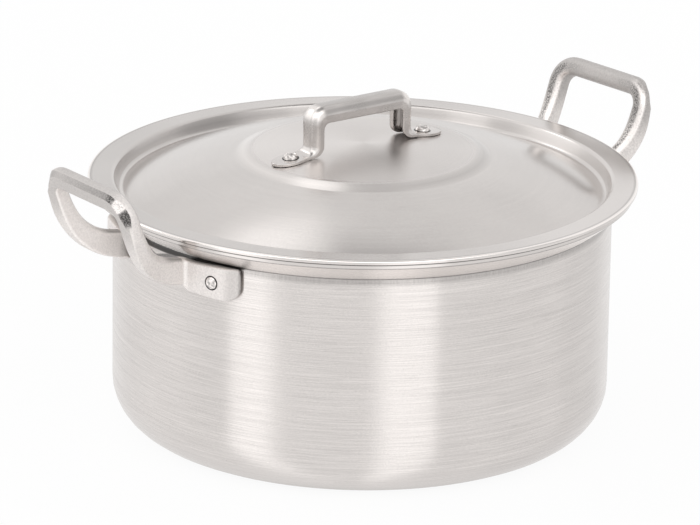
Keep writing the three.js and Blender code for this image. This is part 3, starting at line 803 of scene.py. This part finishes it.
# Painted speckles along the grip, as distances from its middle, and across the hollow side of the bar, from
# -1 to 1, a painted highlight streak with speckles beside it and painted shade
GRIP_SPECKLES_START = (10.0, 26.0)
STREAK_PLACE = -0.45
STREAK_EDGE = (0.12, 0.32)
STREAK_SPECKLES = (0.2, 0.32, 0.45, 0.75)
STREAK_SIDES = (-0.1, 0.1)
HOLLOW_SHADE = (-0.85, -0.6, 0.35, 1.1)

# Shares of a station's shape, wear, and painted light and shade, all 0 at first
NO_MARKS = dict.fromkeys((
    "chamfer", "shade", "wall_shade", "fillet_highlight", "ground", "strip_shade", "chip_highlight", "chip_speckle", "on_arm",
    "streak", "hollow_highlight", "hollow_speckle", "hollow_shade",
), 0.0)


class ArmLine:
    """The side view of a handle's arm, as distance out and height, by length along it."""

    def __init__(self):
        root = np.array((ARM_ROOT_RADIUS, LUG_MIDDLE + ARM_ROOT_LIFT))
        grip = np.array((GRIP_RADIUS, GRIP_HEIGHT))
        after_root = root + ARM_ROOT_PULL * towards(ARM_ROOT_RISE)
        before_grip = grip - GRIP_PULL * towards(pi / 2 - GRIP_LEAN)
        self.controls = np.array((root, after_root, before_grip, grip))
        self.shares = np.linspace(0, 1, ARM_LINE_POINTS)
        places = np.array([bezier(self.controls, share) for share in self.shares])
        steps = np.linalg.norm(np.diff(places, axis=0), axis=1)
        self.lengths = np.concatenate(([0], np.cumsum(steps)))
        self.length = self.lengths[-1]

    def at(self, length):
        """The point at a length along the arm, and its heading there."""
        share = np.interp(length, self.lengths, self.shares)
        heading = bezier(np.diff(self.controls, axis=0), share)
        return bezier(self.controls, share), heading / np.linalg.norm(heading)


ARM_LINE = ArmLine()
GRIP_CORNER_START = ARM_LINE.length - GRIP_ROUND


def bar_section(station):
    """The bar's outline, to its outer and its convex side, with the corner and the turn of each point."""
    outline = []
    spots = []
    half = np.array((station["width"], station["depth"])) / 2
    for corner, size in enumerate(station["rounds"]):
        size = min(size, *LARGEST_BAR_ROUND * half)
        start_angle = corner * pi / 2
        end_angle = start_angle + pi / 2
        centre = np.sign(towards(start_angle + pi / 4)) * (half - size)
        start = centre + size * towards(start_angle)
        end = centre + size * towards(end_angle)
        flatness = station["chamfer"] if corner == CHAMFERED_CORNER else 0.0
        outline.append(start + BAR_ARC_MARGIN * towards(start_angle - pi / 2))
        for share in BAR_ARC_SHARES:
            on_arc = centre + size * towards(mixed(start_angle, end_angle, share))
            outline.append(mixed(on_arc, mixed(start, end, share), flatness))
        outline.append(end + BAR_ARC_MARGIN * towards(end_angle + pi / 2))
        spots.extend((corner, share) for share in (0.0, *BAR_ARC_SHARES, 1.0))
    return np.array(outline), spots


def handle_marks(station, corner, turn, face_shade, side_shade):
    """The marks of a point of the bar: ground, painted shade on the ground strip, polish with a painted
    highlight, painted shade, painted dark speckles, and painted light on pale faces.
    """
    marks = dict.fromkeys(HANDLE_MARKS, 0.0)
    on_side = turn > 0.5 if corner in (1, 3) else turn < 0.5
    arm_side = station["on_arm"] if on_side else 0.0
    # painted shade on the faces
    marks["shade"] = station["shade"] * mixed(face_shade, side_shade, arm_side)
    # painted highlight on the fillet
    marks["polish_and_highlight"] = station["fillet_highlight"]
    # painted light on the inner sides of the arms
    if corner in INNER_CORNERS:
        marks["pale"] = max(1 - side_shade, 0.0) * arm_side
    # the ground strip, its painted dark reflection, and the chip's painted highlight and dark speckles
    if corner == CHAMFERED_CORNER and 0.0 < turn < 1.0 and station["ground"] > 0.0:
        marks["ground"] = station["ground"]
        marks["shade"] *= 1 - station["ground"]
        marks["strip_shade"] = station["strip_shade"]
        marks["polish_and_highlight"] = station["chip_highlight"]
        marks["speckle"] = station["chip_speckle"]
    # on the hollow side, a painted highlight streak with painted dark speckles beside it, and painted shade
    if corner in HOLLOW_CORNERS:
        across = turn - 1 if corner == HOLLOW_CORNERS[0] else turn
        from_streak = across - station["streak"]
        towards_middle = from_streak * copysign(1.0, -station["streak"])
        one_sided = mixed(0.25, 1.0, eased(towards_middle, *STREAK_SIDES))
        streak = station["hollow_highlight"] * (1 - eased(abs(from_streak), *STREAK_EDGE))
        speckles = one_sided * hump(abs(from_streak), *STREAK_SPECKLES)
        marks["shade"] = max(marks["shade"], station["hollow_shade"] * hump(across, *HOLLOW_SHADE))
        marks["polish_and_highlight"] = max(marks["polish_and_highlight"], streak)
        marks["speckle"] = station["hollow_speckle"] * speckles
    # painted shade on the side that faces the wall
    if corner == HOLLOW_CORNERS[0]:
        marks["shade"] = max(marks["shade"], station["wall_shade"])
    return marks


def corner_cut(radius, gone):
    """How much a round corner takes off an edge, at a distance from the tip."""
    return radius - sqrt(radius ** 2 - max(radius - gone, 0) ** 2)


def lug_stations():
    """Sections of a lug on the wall, from its tip to the bend into the arm."""
    stations = []
    tip_angle = HANDLE_RIVET_ANGLE + asin(LUG_TIP_MARGIN / LUG_OUTER_RADIUS)
    length = (tip_angle - BEND_ANGLE) * LUG_MIDDLE_RADIUS
    for gone in (*LUG_TIP_PLACES, *np.linspace(LUG_TIP_LENGTH, length, 9)):
        away = towards(tip_angle - gone / LUG_MIDDLE_RADIUS)
        inset = LUG_TIP_ROUND * (1 - eased(gone, 0, LUG_TIP_ROUND))
        thinning = LUG_TIP_THINNING * (1 - eased(gone, 0, LUG_THINNED_LENGTH))
        thickness = LUG_THICKNESS - thinning - 2 * inset
        radius = LUG_INNER_RADIUS + inset + thickness / 2
        narrowing = inset + LUG_WAIST * eased(gone, LUG_WAIST_START, length)
        top = LUG_TOP - corner_cut(LUG_UPPER_CORNER, gone) - narrowing
        bottom = LUG_TOP - LUG_HEIGHT + corner_cut(LUG_LOWER_CORNER, gone) + narrowing
        # painted shade: a dark line round the lug's tip, and a darker tip
        tip_shade = 0.2 * (1 - eased(gone, *TIP_SHADE_END))
        stations.append(dict(
            NO_MARKS,
            centre=(*radius * away, (top + bottom) / 2),
            rim=(*away, 0),
            convex=(0, 0, -1),
            width=thickness,
            depth=top - bottom,
            rounds=LUG_ROUNDS,
            shade=max(0.55 * hump(gone, *TIP_LINE), tip_shade),
            wall_shade=WALL_SHADE,
        ))
    return stations


def bend_stations():
    """Sections of the bend from a lug into an arm."""
    stations = []
    end_height = ARM_LINE.at(BEND_END)[0][1]
    for share in np.linspace(0, 1, 10)[1:]:
        ease = eased(share, 0, 1)
        rim = towards(mixed(BEND_ANGLE, pi / 2, share))
        x, y = np.array((BEND_X, BEND_Y)) - rim * ARM_BEND_RADIUS
        stations.append(dict(
            NO_MARKS,
            centre=(x, y, mixed(LUG_MIDDLE, end_height, ease)),
            rim=(*rim, 0),
            convex=(0, 0, -1),
            width=mixed(LUG_THICKNESS, ARM_ROOT_THICKNESS, ease),
            depth=mixed(LUG_HEIGHT - 2 * LUG_WAIST, ARM_ROOT_HEIGHT, ease),
            rounds=mixed(LUG_ROUNDS, ARM_ROOT_ROUNDS, ease),
            # painted shade towards the wall, and a painted highlight on the fillet
            wall_shade=WALL_SHADE * (1 - share),
            fillet_highlight=0.5 * hump(share, *FILLET_HIGHLIGHT),
        ))
    return stations


def bar_route():
    """An arm and half of the grip, as distance from the handle's middle and length along the arm."""
    spread = ARM_TAPER_LENGTH / 2
    controls = (
        (ARM_ROOT_REACH, 0),
        (ARM_ROOT_REACH, spread),
        (ARM_REACH, spread),
        (ARM_REACH, GRIP_CORNER_START),
    )
    arm = [bezier(controls, share) for share in np.linspace(0, 1, 41)]
    route = [spot for spot in arm if spot[1] > BEND_END + BEND_CLEARANCE]
    corner = np.array((ARM_REACH - GRIP_ROUND, GRIP_CORNER_START))
    for angle in np.linspace(0, pi / 2, 17)[1:]:
        route.append(corner + GRIP_ROUND * towards(angle))
    for across in np.linspace(corner[0], 0, 14)[1:]:
        route.append(np.array((across, ARM_LINE.length)))
    return route


def past_grip(across, along):
    """How far a place on the route lies past the end of the straight grip."""
    if along < GRIP_CORNER_START:
        return GRIP_ROUND * pi / 2 + GRIP_CORNER_START - along
    if along < ARM_LINE.length:
        return GRIP_ROUND * acos(min((along - GRIP_CORNER_START) / GRIP_ROUND, 1.0))
    return across - (ARM_REACH - GRIP_ROUND)


def bar_stations():
    """Sections of an arm and half of the grip, from the bend to the middle of the grip."""
    stations = []
    route = bar_route()
    for i, (across, along) in enumerate(route):
        forward = route[min(i + 1, len(route) - 1)] - route[max(i - 1, 0)]
        forward /= np.linalg.norm(forward)
        (x, z), (out, up) = ARM_LINE.at(along)
        past = past_grip(across, along)
        growth = eased(along, 0, ARM_TAPER_LENGTH)
        cut = 1 - eased(past, *CHAMFER_END)
        chamfer = CHAMFER * (1 + CHIP_GROWTH * hump(past, *CHIP))
        rounds = mixed(ARM_ROOT_ROUNDS, BAR_ROUNDS, eased(along, *HOLLOW_START))
        rounds[CHAMFERED_CORNER] = mixed(ARM_ROOT_ROUNDS[CHAMFERED_CORNER], chamfer, cut)
        on_arm = eased(past, *ARM_START)
        # shares of the painted highlight streak, of painted dark speckles and of painted shade
        streaked = on_arm * eased(along, *STREAK_START)
        grip_speckle = 0.35 * (1 - on_arm) * eased(across, *GRIP_SPECKLES_START)
        root_shade = 0.6 * (1 - eased(along, *ROOT_SHADE_END))
        stations.append(dict(
            NO_MARKS,
            centre=(x, across, z),
            rim=(-forward[0] * out, forward[1], -forward[0] * up),
            convex=(up, 0, -out),
            width=mixed(ARM_ROOT_THICKNESS, BAR_WIDTH, growth),
            depth=mixed(ARM_ROOT_HEIGHT, BAR_DEPTH, growth),
            rounds=rounds,
            chamfer=cut,
            # painted shade on the upper arms and the grip
            shade=0.3 * eased(along, *UPPER_SHADE_START),
            ground=1 - eased(past, *GROUND_END),
            # painted dark reflection on the ground strip, and the chip's painted highlight and dark speckles
            strip_shade=mixed(0.5, 1.0, across / ARM_REACH),
            chip_highlight=hump(past, *CHIP_HIGHLIGHT),
            chip_speckle=max(hump(past, *SPECKLES_BEFORE_CHIP), hump(past, *SPECKLES_AFTER_CHIP)),
            on_arm=on_arm,
            streak=STREAK_PLACE,
            hollow_highlight=streaked,
            hollow_speckle=max(0.85 * streaked, grip_speckle),
            hollow_shade=max(0.42 * (1 - on_arm), root_shade),
        ))
    return stations


def loop_handle(name, angle, face_shade, side_shade):
    """A loop handle, from a lug's tip to the middle of the grip, and its mirror image, which keeps the chip's
    shape but not its painted highlight and speckles.
    """
    half = lug_stations() + bend_stations() + bar_stations()
    mirror = np.array((1, -1, 1))
    stations = list(half)
    for station in reversed(half[:-1]):
        mirrored = {key: mirror * station[key] for key in ("centre", "rim", "convex")}
        # the mirror's painted strip reflection and highlight streak are turned round
        painted_light = {"strip_shade": 1.0 - station["strip_shade"], "streak": -station["streak"]}
        stations.append({**station, **mirrored, **painted_light, "chip_highlight": 0.0, "chip_speckle": 0.0})
    points = []
    marks = []
    for station in stations:
        outline, spots = bar_section(station)
        sideways = outline[:, :1] * station["rim"] + outline[:, 1:] * station["convex"]
        points.extend(station["centre"] + sideways)
        marks.extend(handle_marks(station, *spot, face_shade, side_shade) for spot in spots)
    faces = skin_faces(len(stations), len(points) // len(stations))
    shape = mesh_object(name, points, faces, CAST_METAL)
    for mark in HANDLE_MARKS:
        mark_points(shape, mark, [point_marks[mark] for point_marks in marks])
    shape.data.transform(Matrix.Rotation(angle, 4, "Z"))
    return shape


# Lid handle

# Points of the strap's section before the first one that is inside the channel
STRAP_OUTSIDE_POINTS = 2 * (STRAP_ARC_POINTS + len(STRAP_FLANK_SHARES)) + 1

# Marks on the strap: distance from its middle, degrees round an upper bend where a highlight is painted, and
# depth from its back
BARE_GRIP_END = (24.0, 29.0)
HIGHLIGHT_BEND = (8.0, 30.0, 60.0, 85.0)
HIGHLIGHT_BACK_END = (3.0, 8.0)


def strap_section(half_width, depth, edge):
    """The strap's channel, as distance across and depth from its back: first its outside, then its inside."""
    sheet = min(STRAP_SHEET, depth)
    edge = min(edge, depth * LARGEST_STRAP_ROUND)
    inner_edge = max(edge - sheet, STRAP_LEAST_ROUND)
    wall = half_width - sheet
    turn = np.linspace(0, pi / 2, STRAP_ARC_POINTS)
    rise = 1 - np.cos(turn)
    outer_arc = np.column_stack((half_width - edge + edge * np.sin(turn), edge * rise))
    flank = [(half_width, mixed(edge, depth, share)) for share in STRAP_FLANK_SHARES]
    inner_depths = np.minimum(sheet + inner_edge * rise, depth)
    inner_arc = np.column_stack((wall - inner_edge + inner_edge * np.sin(turn), inner_depths))
    outside = np.vstack((outer_arc, flank))
    inside = np.vstack((inner_arc, [(wall, depth)]))
    mirror = np.array((-1, 1))
    return np.vstack((mirror * outside[::-1], outside, inside[::-1], mirror * inside))


def strap_lines(leg_start):
    """Points on the back of a leg and half of the grip, each with the edge of the channel that faces it."""
    corner = np.array((STRAP_LEG_REACH, STRAP_HEIGHT))
    inner_corner = corner - (LEG_FLANGE_DEPTH, GRIP_FLANGE_DEPTH)
    foot = np.array((corner[0], leg_start))
    inner_foot = np.array((inner_corner[0], leg_start))
    leg_top = corner - (0, STRAP_ROUND)
    inner_leg_top = inner_corner - (0, STRAP_INNER_ROUND)
    lines = []
    for share in np.linspace(0, 1, 9)[1:]:
        lines.append((mixed(foot, leg_top, share), mixed(inner_foot, inner_leg_top, share)))
    for angle in np.linspace(0, pi / 2, 17)[1:]:
        turn = towards(angle) - 1
        lines.append((corner + STRAP_ROUND * turn, inner_corner + STRAP_INNER_ROUND * turn))
    grip_end, inner_grip_end = lines[-1]
    for share in np.linspace(1, 0, 6)[1:]:
        lines.append((grip_end * (share, 1), inner_grip_end * (share, 1)))
    return lines


def strap_stations(side):
    """Sections of half of the strap, from a foot's tip to the middle of the grip.

    Each has a point on the strap's back, the way into the sheet, the depth, the width and the edge's round.
    """
    rivet_radius = abs(STRAP_SHIFT + side * LID_RIVET_REACH)
    tilt = crown_slope(rivet_radius)
    outward = towards(-tilt)
    inward = towards(-tilt - pi / 2)
    rivet_spot = np.array((LID_RIVET_REACH, crown_height(rivet_radius))) - inward * (FOOT_GAP + STRAP_SHEET)
    bend_reach = STRAP_LEG_REACH + FOOT_BEND_RADIUS * (1 - sin(tilt))
    bend_start = (bend_reach - rivet_spot[0]) / cos(tilt)
    bend_centre = rivet_spot + outward * bend_start - inward * FOOT_BEND_RADIUS
    stations = []
    for share in np.sin(np.linspace(0, pi / 2, 14)):
        gone = mixed(FOOT_MARGIN, 0, share)
        width = FOOT_WIDTH * sqrt(max(1 - (gone / FOOT_MARGIN) ** 2, 0.004))
        stations.append((rivet_spot + outward * gone, inward, STRAP_SHEET, width, FOOT_EDGE_RADIUS))
    for gone in np.linspace(0, bend_start, 9)[1:]:
        width = mixed(STRAP_WIDTH, FOOT_WIDTH, eased(gone, bend_start, 0))
        stations.append((rivet_spot + outward * gone, inward, STRAP_SHEET, width, FOOT_EDGE_RADIUS))
    for angle in np.linspace(tilt, pi / 2, 13)[1:]:
        into = towards(-angle - pi / 2)
        share = eased(angle, 0.3, pi / 2)
        depth = mixed(STRAP_SHEET, LEG_FLANGE_DEPTH, share)
        edge = mixed(FOOT_EDGE_RADIUS, STRAP_EDGE_RADIUS, share)
        stations.append((bend_centre + into * FOOT_BEND_RADIUS, into, depth, STRAP_WIDTH, edge))
    for back, inner in strap_lines(bend_centre[1]):
        depth = np.linalg.norm(inner - back)
        stations.append((back, (inner - back) / depth, depth, STRAP_WIDTH, STRAP_EDGE_RADIUS))
    return stations


def on_lid(shape, place):
    """Moves a shape to its place on the lid, with heights from the edge of the raised disc."""
    lift = Matrix.Translation((0, 0, DISC_HEIGHT * MM))
    shape.data.transform(Matrix.Rotation(LID_TURN, 4, "Z") @ lift @ place)
    return shape


def bend_share(spot):
    """How near a point of the strap is to the middle of an upper bend, where a highlight is painted."""
    over = spot[1] - (STRAP_HEIGHT - STRAP_ROUND)
    beyond = spot[0] - (STRAP_LEG_REACH - STRAP_ROUND)
    if over <= 0 or beyond <= 0:
        return 0.0
    return hump(degrees(atan2(over, beyond)), *HIGHLIGHT_BEND)


def lid_strap():
    """The strap, with marks for painted shade inside its legs, and for bare metal inside its grip and a
    painted highlight on its upper bends.
    """
    half = strap_stations(1)
    other = strap_stations(-1)[-2::-1]
    points = []
    inside = []
    bare_and_highlight = []
    for side, stations in ((1, half), (-1, other)):
        for back, into, depth, width, edge in stations:
            section = strap_section(width / 2, depth, edge)
            for number, (across, deep) in enumerate(section):
                spot = back + into * deep
                points.append((side * spot[0], across, spot[1]))
                within = STRAP_OUTSIDE_POINTS <= number < len(section) - 1
                in_leg = eased(spot[0], *BARE_GRIP_END)
                # painted highlight on the outside of an upper bend
                bend_highlight = 0.7 * bend_share(spot) * (1 - eased(deep, *HIGHLIGHT_BACK_END))
                inside.append(in_leg if within else 0.0)
                bare_and_highlight.append(1 - in_leg if within else bend_highlight)
    count = len(half) + len(other)
    shape = mesh_object("lid_strap", points, skin_faces(count, len(points) // count), STRAP_METAL)
    mark_points(shape, "inside", inside)
    mark_points(shape, "bare_and_highlight", bare_and_highlight)
    return on_lid(shape, Matrix.Translation((STRAP_SHIFT * MM, 0, 0)))


# Rivets


def rivet(name, heads, low_seat, high_seat, unevenness):
    """A peened rivet along Z, with a ring round its upper head that carries painted shadow; the head is
    uneven.
    """
    (low_radius, low_height, low_flat), (high_radius, high_height, high_flat) = heads
    low_end = low_seat - low_height
    high_end = high_seat + high_height
    shade_ring_radius = high_radius + SHADE_RING_REACH
    profile = rounded_line([
        (0, low_end, 0),
        (low_radius * low_flat, low_end, low_height),
        (low_radius, low_seat - LOWER_HEAD_EDGE, LOWER_HEAD_EDGE),
        (low_radius, low_seat, RIVET_ROUND),
        (RIVET_SHANK, low_seat, RIVET_ROUND),
        (RIVET_SHANK, high_seat, RIVET_ROUND),
        (shade_ring_radius, high_seat, SHADE_RING_ROUND),
        (shade_ring_radius, high_seat + SHADE_RING_RISE, SHADE_RING_ROUND),
        (high_radius, high_seat + SHADE_RING_INNER_RISE, SHADE_RING_ROUND),
        (high_radius, high_seat + UPPER_HEAD_EDGE, RIVET_ROUND),
        (high_radius * high_flat, high_end, high_height),
        (high_radius * high_flat / 2, high_end, 0),
        (0, high_end, 0),
    ])
    shape = turned(name, profile, RIVET_METAL, RIVET_TURN_STEPS)
    gap_shade = []
    for vertex in shape.data.vertices:
        x, y, z = vertex.co / MM
        on_head = z > high_seat + UNEVEN_START
        # painted shadow on the ring at the seat
        gap_shade.append(0.0 if on_head or z < high_seat + SHADE_RING_START else 1.0)
        if on_head:
            wave_depth = hypot(x, y) * 0.2 + unevenness
            wave = noise.noise(Vector((x * WAVE_SCALE, y * WAVE_SCALE, wave_depth)))
            lump = noise.noise(Vector((x * LUMP_SCALE, y * LUMP_SCALE, unevenness * 3)))
            vertex.co.z += min(0.0, unevenness * (0.7 * wave + 0.5 * lump - 0.3)) * MM
    mark_points(shape, "gap_shade", gap_shade)
    return shape


def wall_rivet(name, angle):
    """A rivet through a lug and the wall, with its lower head inside the pot."""
    inner_head_radius = WALL_RIVET_HEADS[0][0]
    inner_seat = sqrt((POT_RADIUS - POT_WALL) ** 2 - inner_head_radius ** 2) - RIVET_PLAY
    shape = rivet(name, WALL_RIVET_HEADS, inner_seat, LUG_OUTER_RADIUS, WALL_RIVET_UNEVENNESS)
    lift = Matrix.Translation((0, 0, LUG_MIDDLE * MM))
    shape.data.transform(lift @ Matrix.Rotation(angle, 4, "Z") @ Matrix.Rotation(pi / 2, 4, "Y"))
    return shape


def strap_rivet(name, reach):
    """A rivet through a foot of the strap and the lid, with its lower head under the lid."""
    low_seat = -LID_SHEET - RIVET_PLAY
    shape = rivet(name, STRAP_RIVET_HEADS, low_seat, FOOT_GAP + STRAP_SHEET, STRAP_RIVET_UNEVENNESS)
    place = STRAP_SHIFT + reach
    lean = Matrix.Rotation(copysign(crown_slope(abs(place)), place), 4, "Y")
    return on_lid(shape, Matrix.Translation(Vector((place, 0, crown_height(abs(place)))) * MM) @ lean)


def stand_for(shape, node, body):
    """A visible piece takes the place of a CAD node and moves with its body."""
    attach(shape, body)
    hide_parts(node)


stand_for(pot_shell(), "pot_body", "pot")
stand_for(lid_sheet(), "lid_panel", "lid")
stand_for(lid_strap(), "lid_handle", "lid")
for side, handle_angle, ends in (
    ("right", HANDLE_SET_BACK, ("back", "front")),
    ("left", pi - HANDLE_SET_BACK, ("front", "back")),
):
    handle = loop_handle(f"loop_handle_{side}", handle_angle, *HANDLE_SHADES[side])
    stand_for(handle, f"side_handle_{side}", "pot")
    for end, turn in zip(ends, (HANDLE_RIVET_ANGLE, -HANDLE_RIVET_ANGLE)):
        shape = wall_rivet(f"wall_rivet_{side}_{end}", handle_angle + turn)
        stand_for(shape, f"handle_rivet_{side}_{end}", "pot")
for side, reach in (("right", LID_RIVET_REACH), ("left", -LID_RIVET_REACH)):
    stand_for(strap_rivet(f"strap_rivet_{side}", reach), f"lid_rivet_{side}", "lid")


# Camera, with its place in metres

VIEW_TURN = radians(38.85)
CAMERA_DISTANCE = 3.1563
CAMERA_HEIGHT = 1.1488
CAMERA_TILT = radians(18.40)
CAMERA_PAN = radians(-0.126)
CAMERA_ROLL = radians(0.909)
CAMERA_LENS = 283.6
CAMERA_SENSOR = 36.0
CAMERA_CLIP_END = 100.0


def add_camera():
    """A camera at the photograph's viewing angle."""
    forward = Vector((
        sin(CAMERA_PAN) * cos(CAMERA_TILT),
        cos(CAMERA_PAN) * cos(CAMERA_TILT),
        -sin(CAMERA_TILT),
    ))
    right = Vector((cos(CAMERA_PAN), -sin(CAMERA_PAN), 0))
    up = right.cross(forward)
    right, up = (
        right * cos(CAMERA_ROLL) + up * sin(CAMERA_ROLL),
        up * cos(CAMERA_ROLL) - right * sin(CAMERA_ROLL),
    )
    frame_axes = Matrix((right, up, -forward)).transposed().to_4x4()
    data = bpy.data.cameras.new("camera")
    data.lens = CAMERA_LENS
    data.sensor_width = CAMERA_SENSOR
    data.clip_end = CAMERA_CLIP_END
    camera = bpy.data.objects.new("camera", data)
    bpy.context.scene.collection.objects.link(camera)
    place = Matrix.Translation((0, -CAMERA_DISTANCE, CAMERA_HEIGHT)) @ frame_axes
    camera.matrix_world = Matrix.Rotation(-VIEW_TURN, 4, "Z") @ place
    bpy.context.scene.camera = camera


# Surroundings

WHITE = (1, 1, 1, 1)
FLOOR_GREY = (0.9, 0.9, 0.9, 1)
FLOOR_GLOW = 0.93
FLOOR_REACH = 6.0
FLOOR_DROP = 0.0005
STUDIO_LEVEL = 0.97

# Brighter and darker parts of the studio: degrees to the camera's right, degrees of height, and strength.
# Each part starts, is full, begins to fade and is gone at its four angles.
STANDING = (-91, -90, 20, 35)
STUDIO_PARTS = {
    "left strip": ((-64, -60, -48, -34), STANDING, 0.42),
    "right strip": ((2, 16, 34, 37), STANDING, 0.36),
    "high box at the back": ((-172, -168, -148, -120), (49, 54, 66, 76), 0.6),
    "box above the camera": ((-80, -60, 40, 70), (22, 32, 56, 64), 0.7),
    "dark ceiling": ((-181, -180, 180, 181), (60, 72, 90, 91), -0.6),
    "box at the left": ((-130, -112, -90, -75), (-8, 4, 35, 50), 0.32),
    "dark panel at the right": ((60, 70, 92, 105), (0, 8, 40, 55), -0.3),
    "dark floor at the back": ((100, 112, 135, 150), (-70, -50, -2, 6), -0.09),
    "lamp at the back left": ((-131, -127, -114, -108), (25, 30, 40, 46), 1.3),
}


def add_world():
    """A bright studio: even light with brighter and darker parts, and plain white to the camera."""
    world = bpy.data.worlds.new("studio")
    world.use_nodes = True
    nodes = Nodes(world.node_tree)
    direction = nodes.add("TexCoord").outputs["Generated"]
    turn = {"Vector": direction, "Angle": VIEW_TURN}
    seen = nodes.add("VectorRotate", turn, rotation_type="Z_AXIS").outputs["Vector"]
    axes = nodes.axes(seen)
    to_right = nodes.math("ARCTAN2", axes["X"], nodes.times(axes["Y"], -1.0))
    height = nodes.math("ARCSINE", axes["Z"])

    def between(value, angles):
        start, full, fade, gone = (radians(angle) for angle in angles)
        rise = nodes.ramp(value, start, full, 0.0, 1.0, "SMOOTHSTEP")
        return nodes.times(rise, nodes.ramp(value, fade, gone, 1.0, 0.0, "SMOOTHSTEP"))

    light = STUDIO_LEVEL
    for right_angles, height_angles, strength in STUDIO_PARTS.values():
        inside = nodes.times(between(to_right, right_angles), between(height, height_angles))
        light = nodes.plus(light, nodes.times(inside, strength))
    rays = nodes.add("LightPath").outputs
    studio = nodes.add("Background", {"Color": WHITE, "Strength": light}).outputs[0]
    white = nodes.add("Background", {"Color": WHITE, "Strength": 1.0}).outputs[0]
    shader = nodes.add("MixShader", {"Fac": rays["Is Camera Ray"], 1: studio, 2: white})
    nodes.add("OutputWorld", {"Surface": shader.outputs["Shader"]})
    bpy.context.scene.world = world


def add_floor():
    """A plain pale floor that keeps the pot's soft shadow."""
    corners = [(x * FLOOR_REACH, y * FLOOR_REACH, 0) for x, y in ((-1, -1), (1, -1), (1, 1), (-1, 1))]
    mesh = bpy.data.meshes.new("floor")
    mesh.from_pydata(corners, [], [(0, 1, 2, 3)])
    material, nodes = new_material("floor")
    rays = nodes.add("LightPath").outputs
    matte = nodes.add("BsdfDiffuse", {"Color": FLOOR_GREY}).outputs[0]
    glow = nodes.add("Emission", {"Color": WHITE, "Strength": 1.0}).outputs[0]
    share = nodes.times(rays["Is Camera Ray"], FLOOR_GLOW)
    shader = nodes.add("MixShader", {"Fac": share, 1: matte, 2: glow})
    nodes.add("OutputMaterial", {"Surface": shader.outputs["Shader"]})
    mesh.materials.append(material)
    floor = bpy.data.objects.new("floor", mesh)
    floor.location.z = -FLOOR_DROP
    floor.visible_glossy = False
    bpy.context.scene.collection.objects.link(floor)


add_camera()
add_world()
add_floor()

scene = bpy.context.scene
scene.view_settings.view_transform = "Standard"
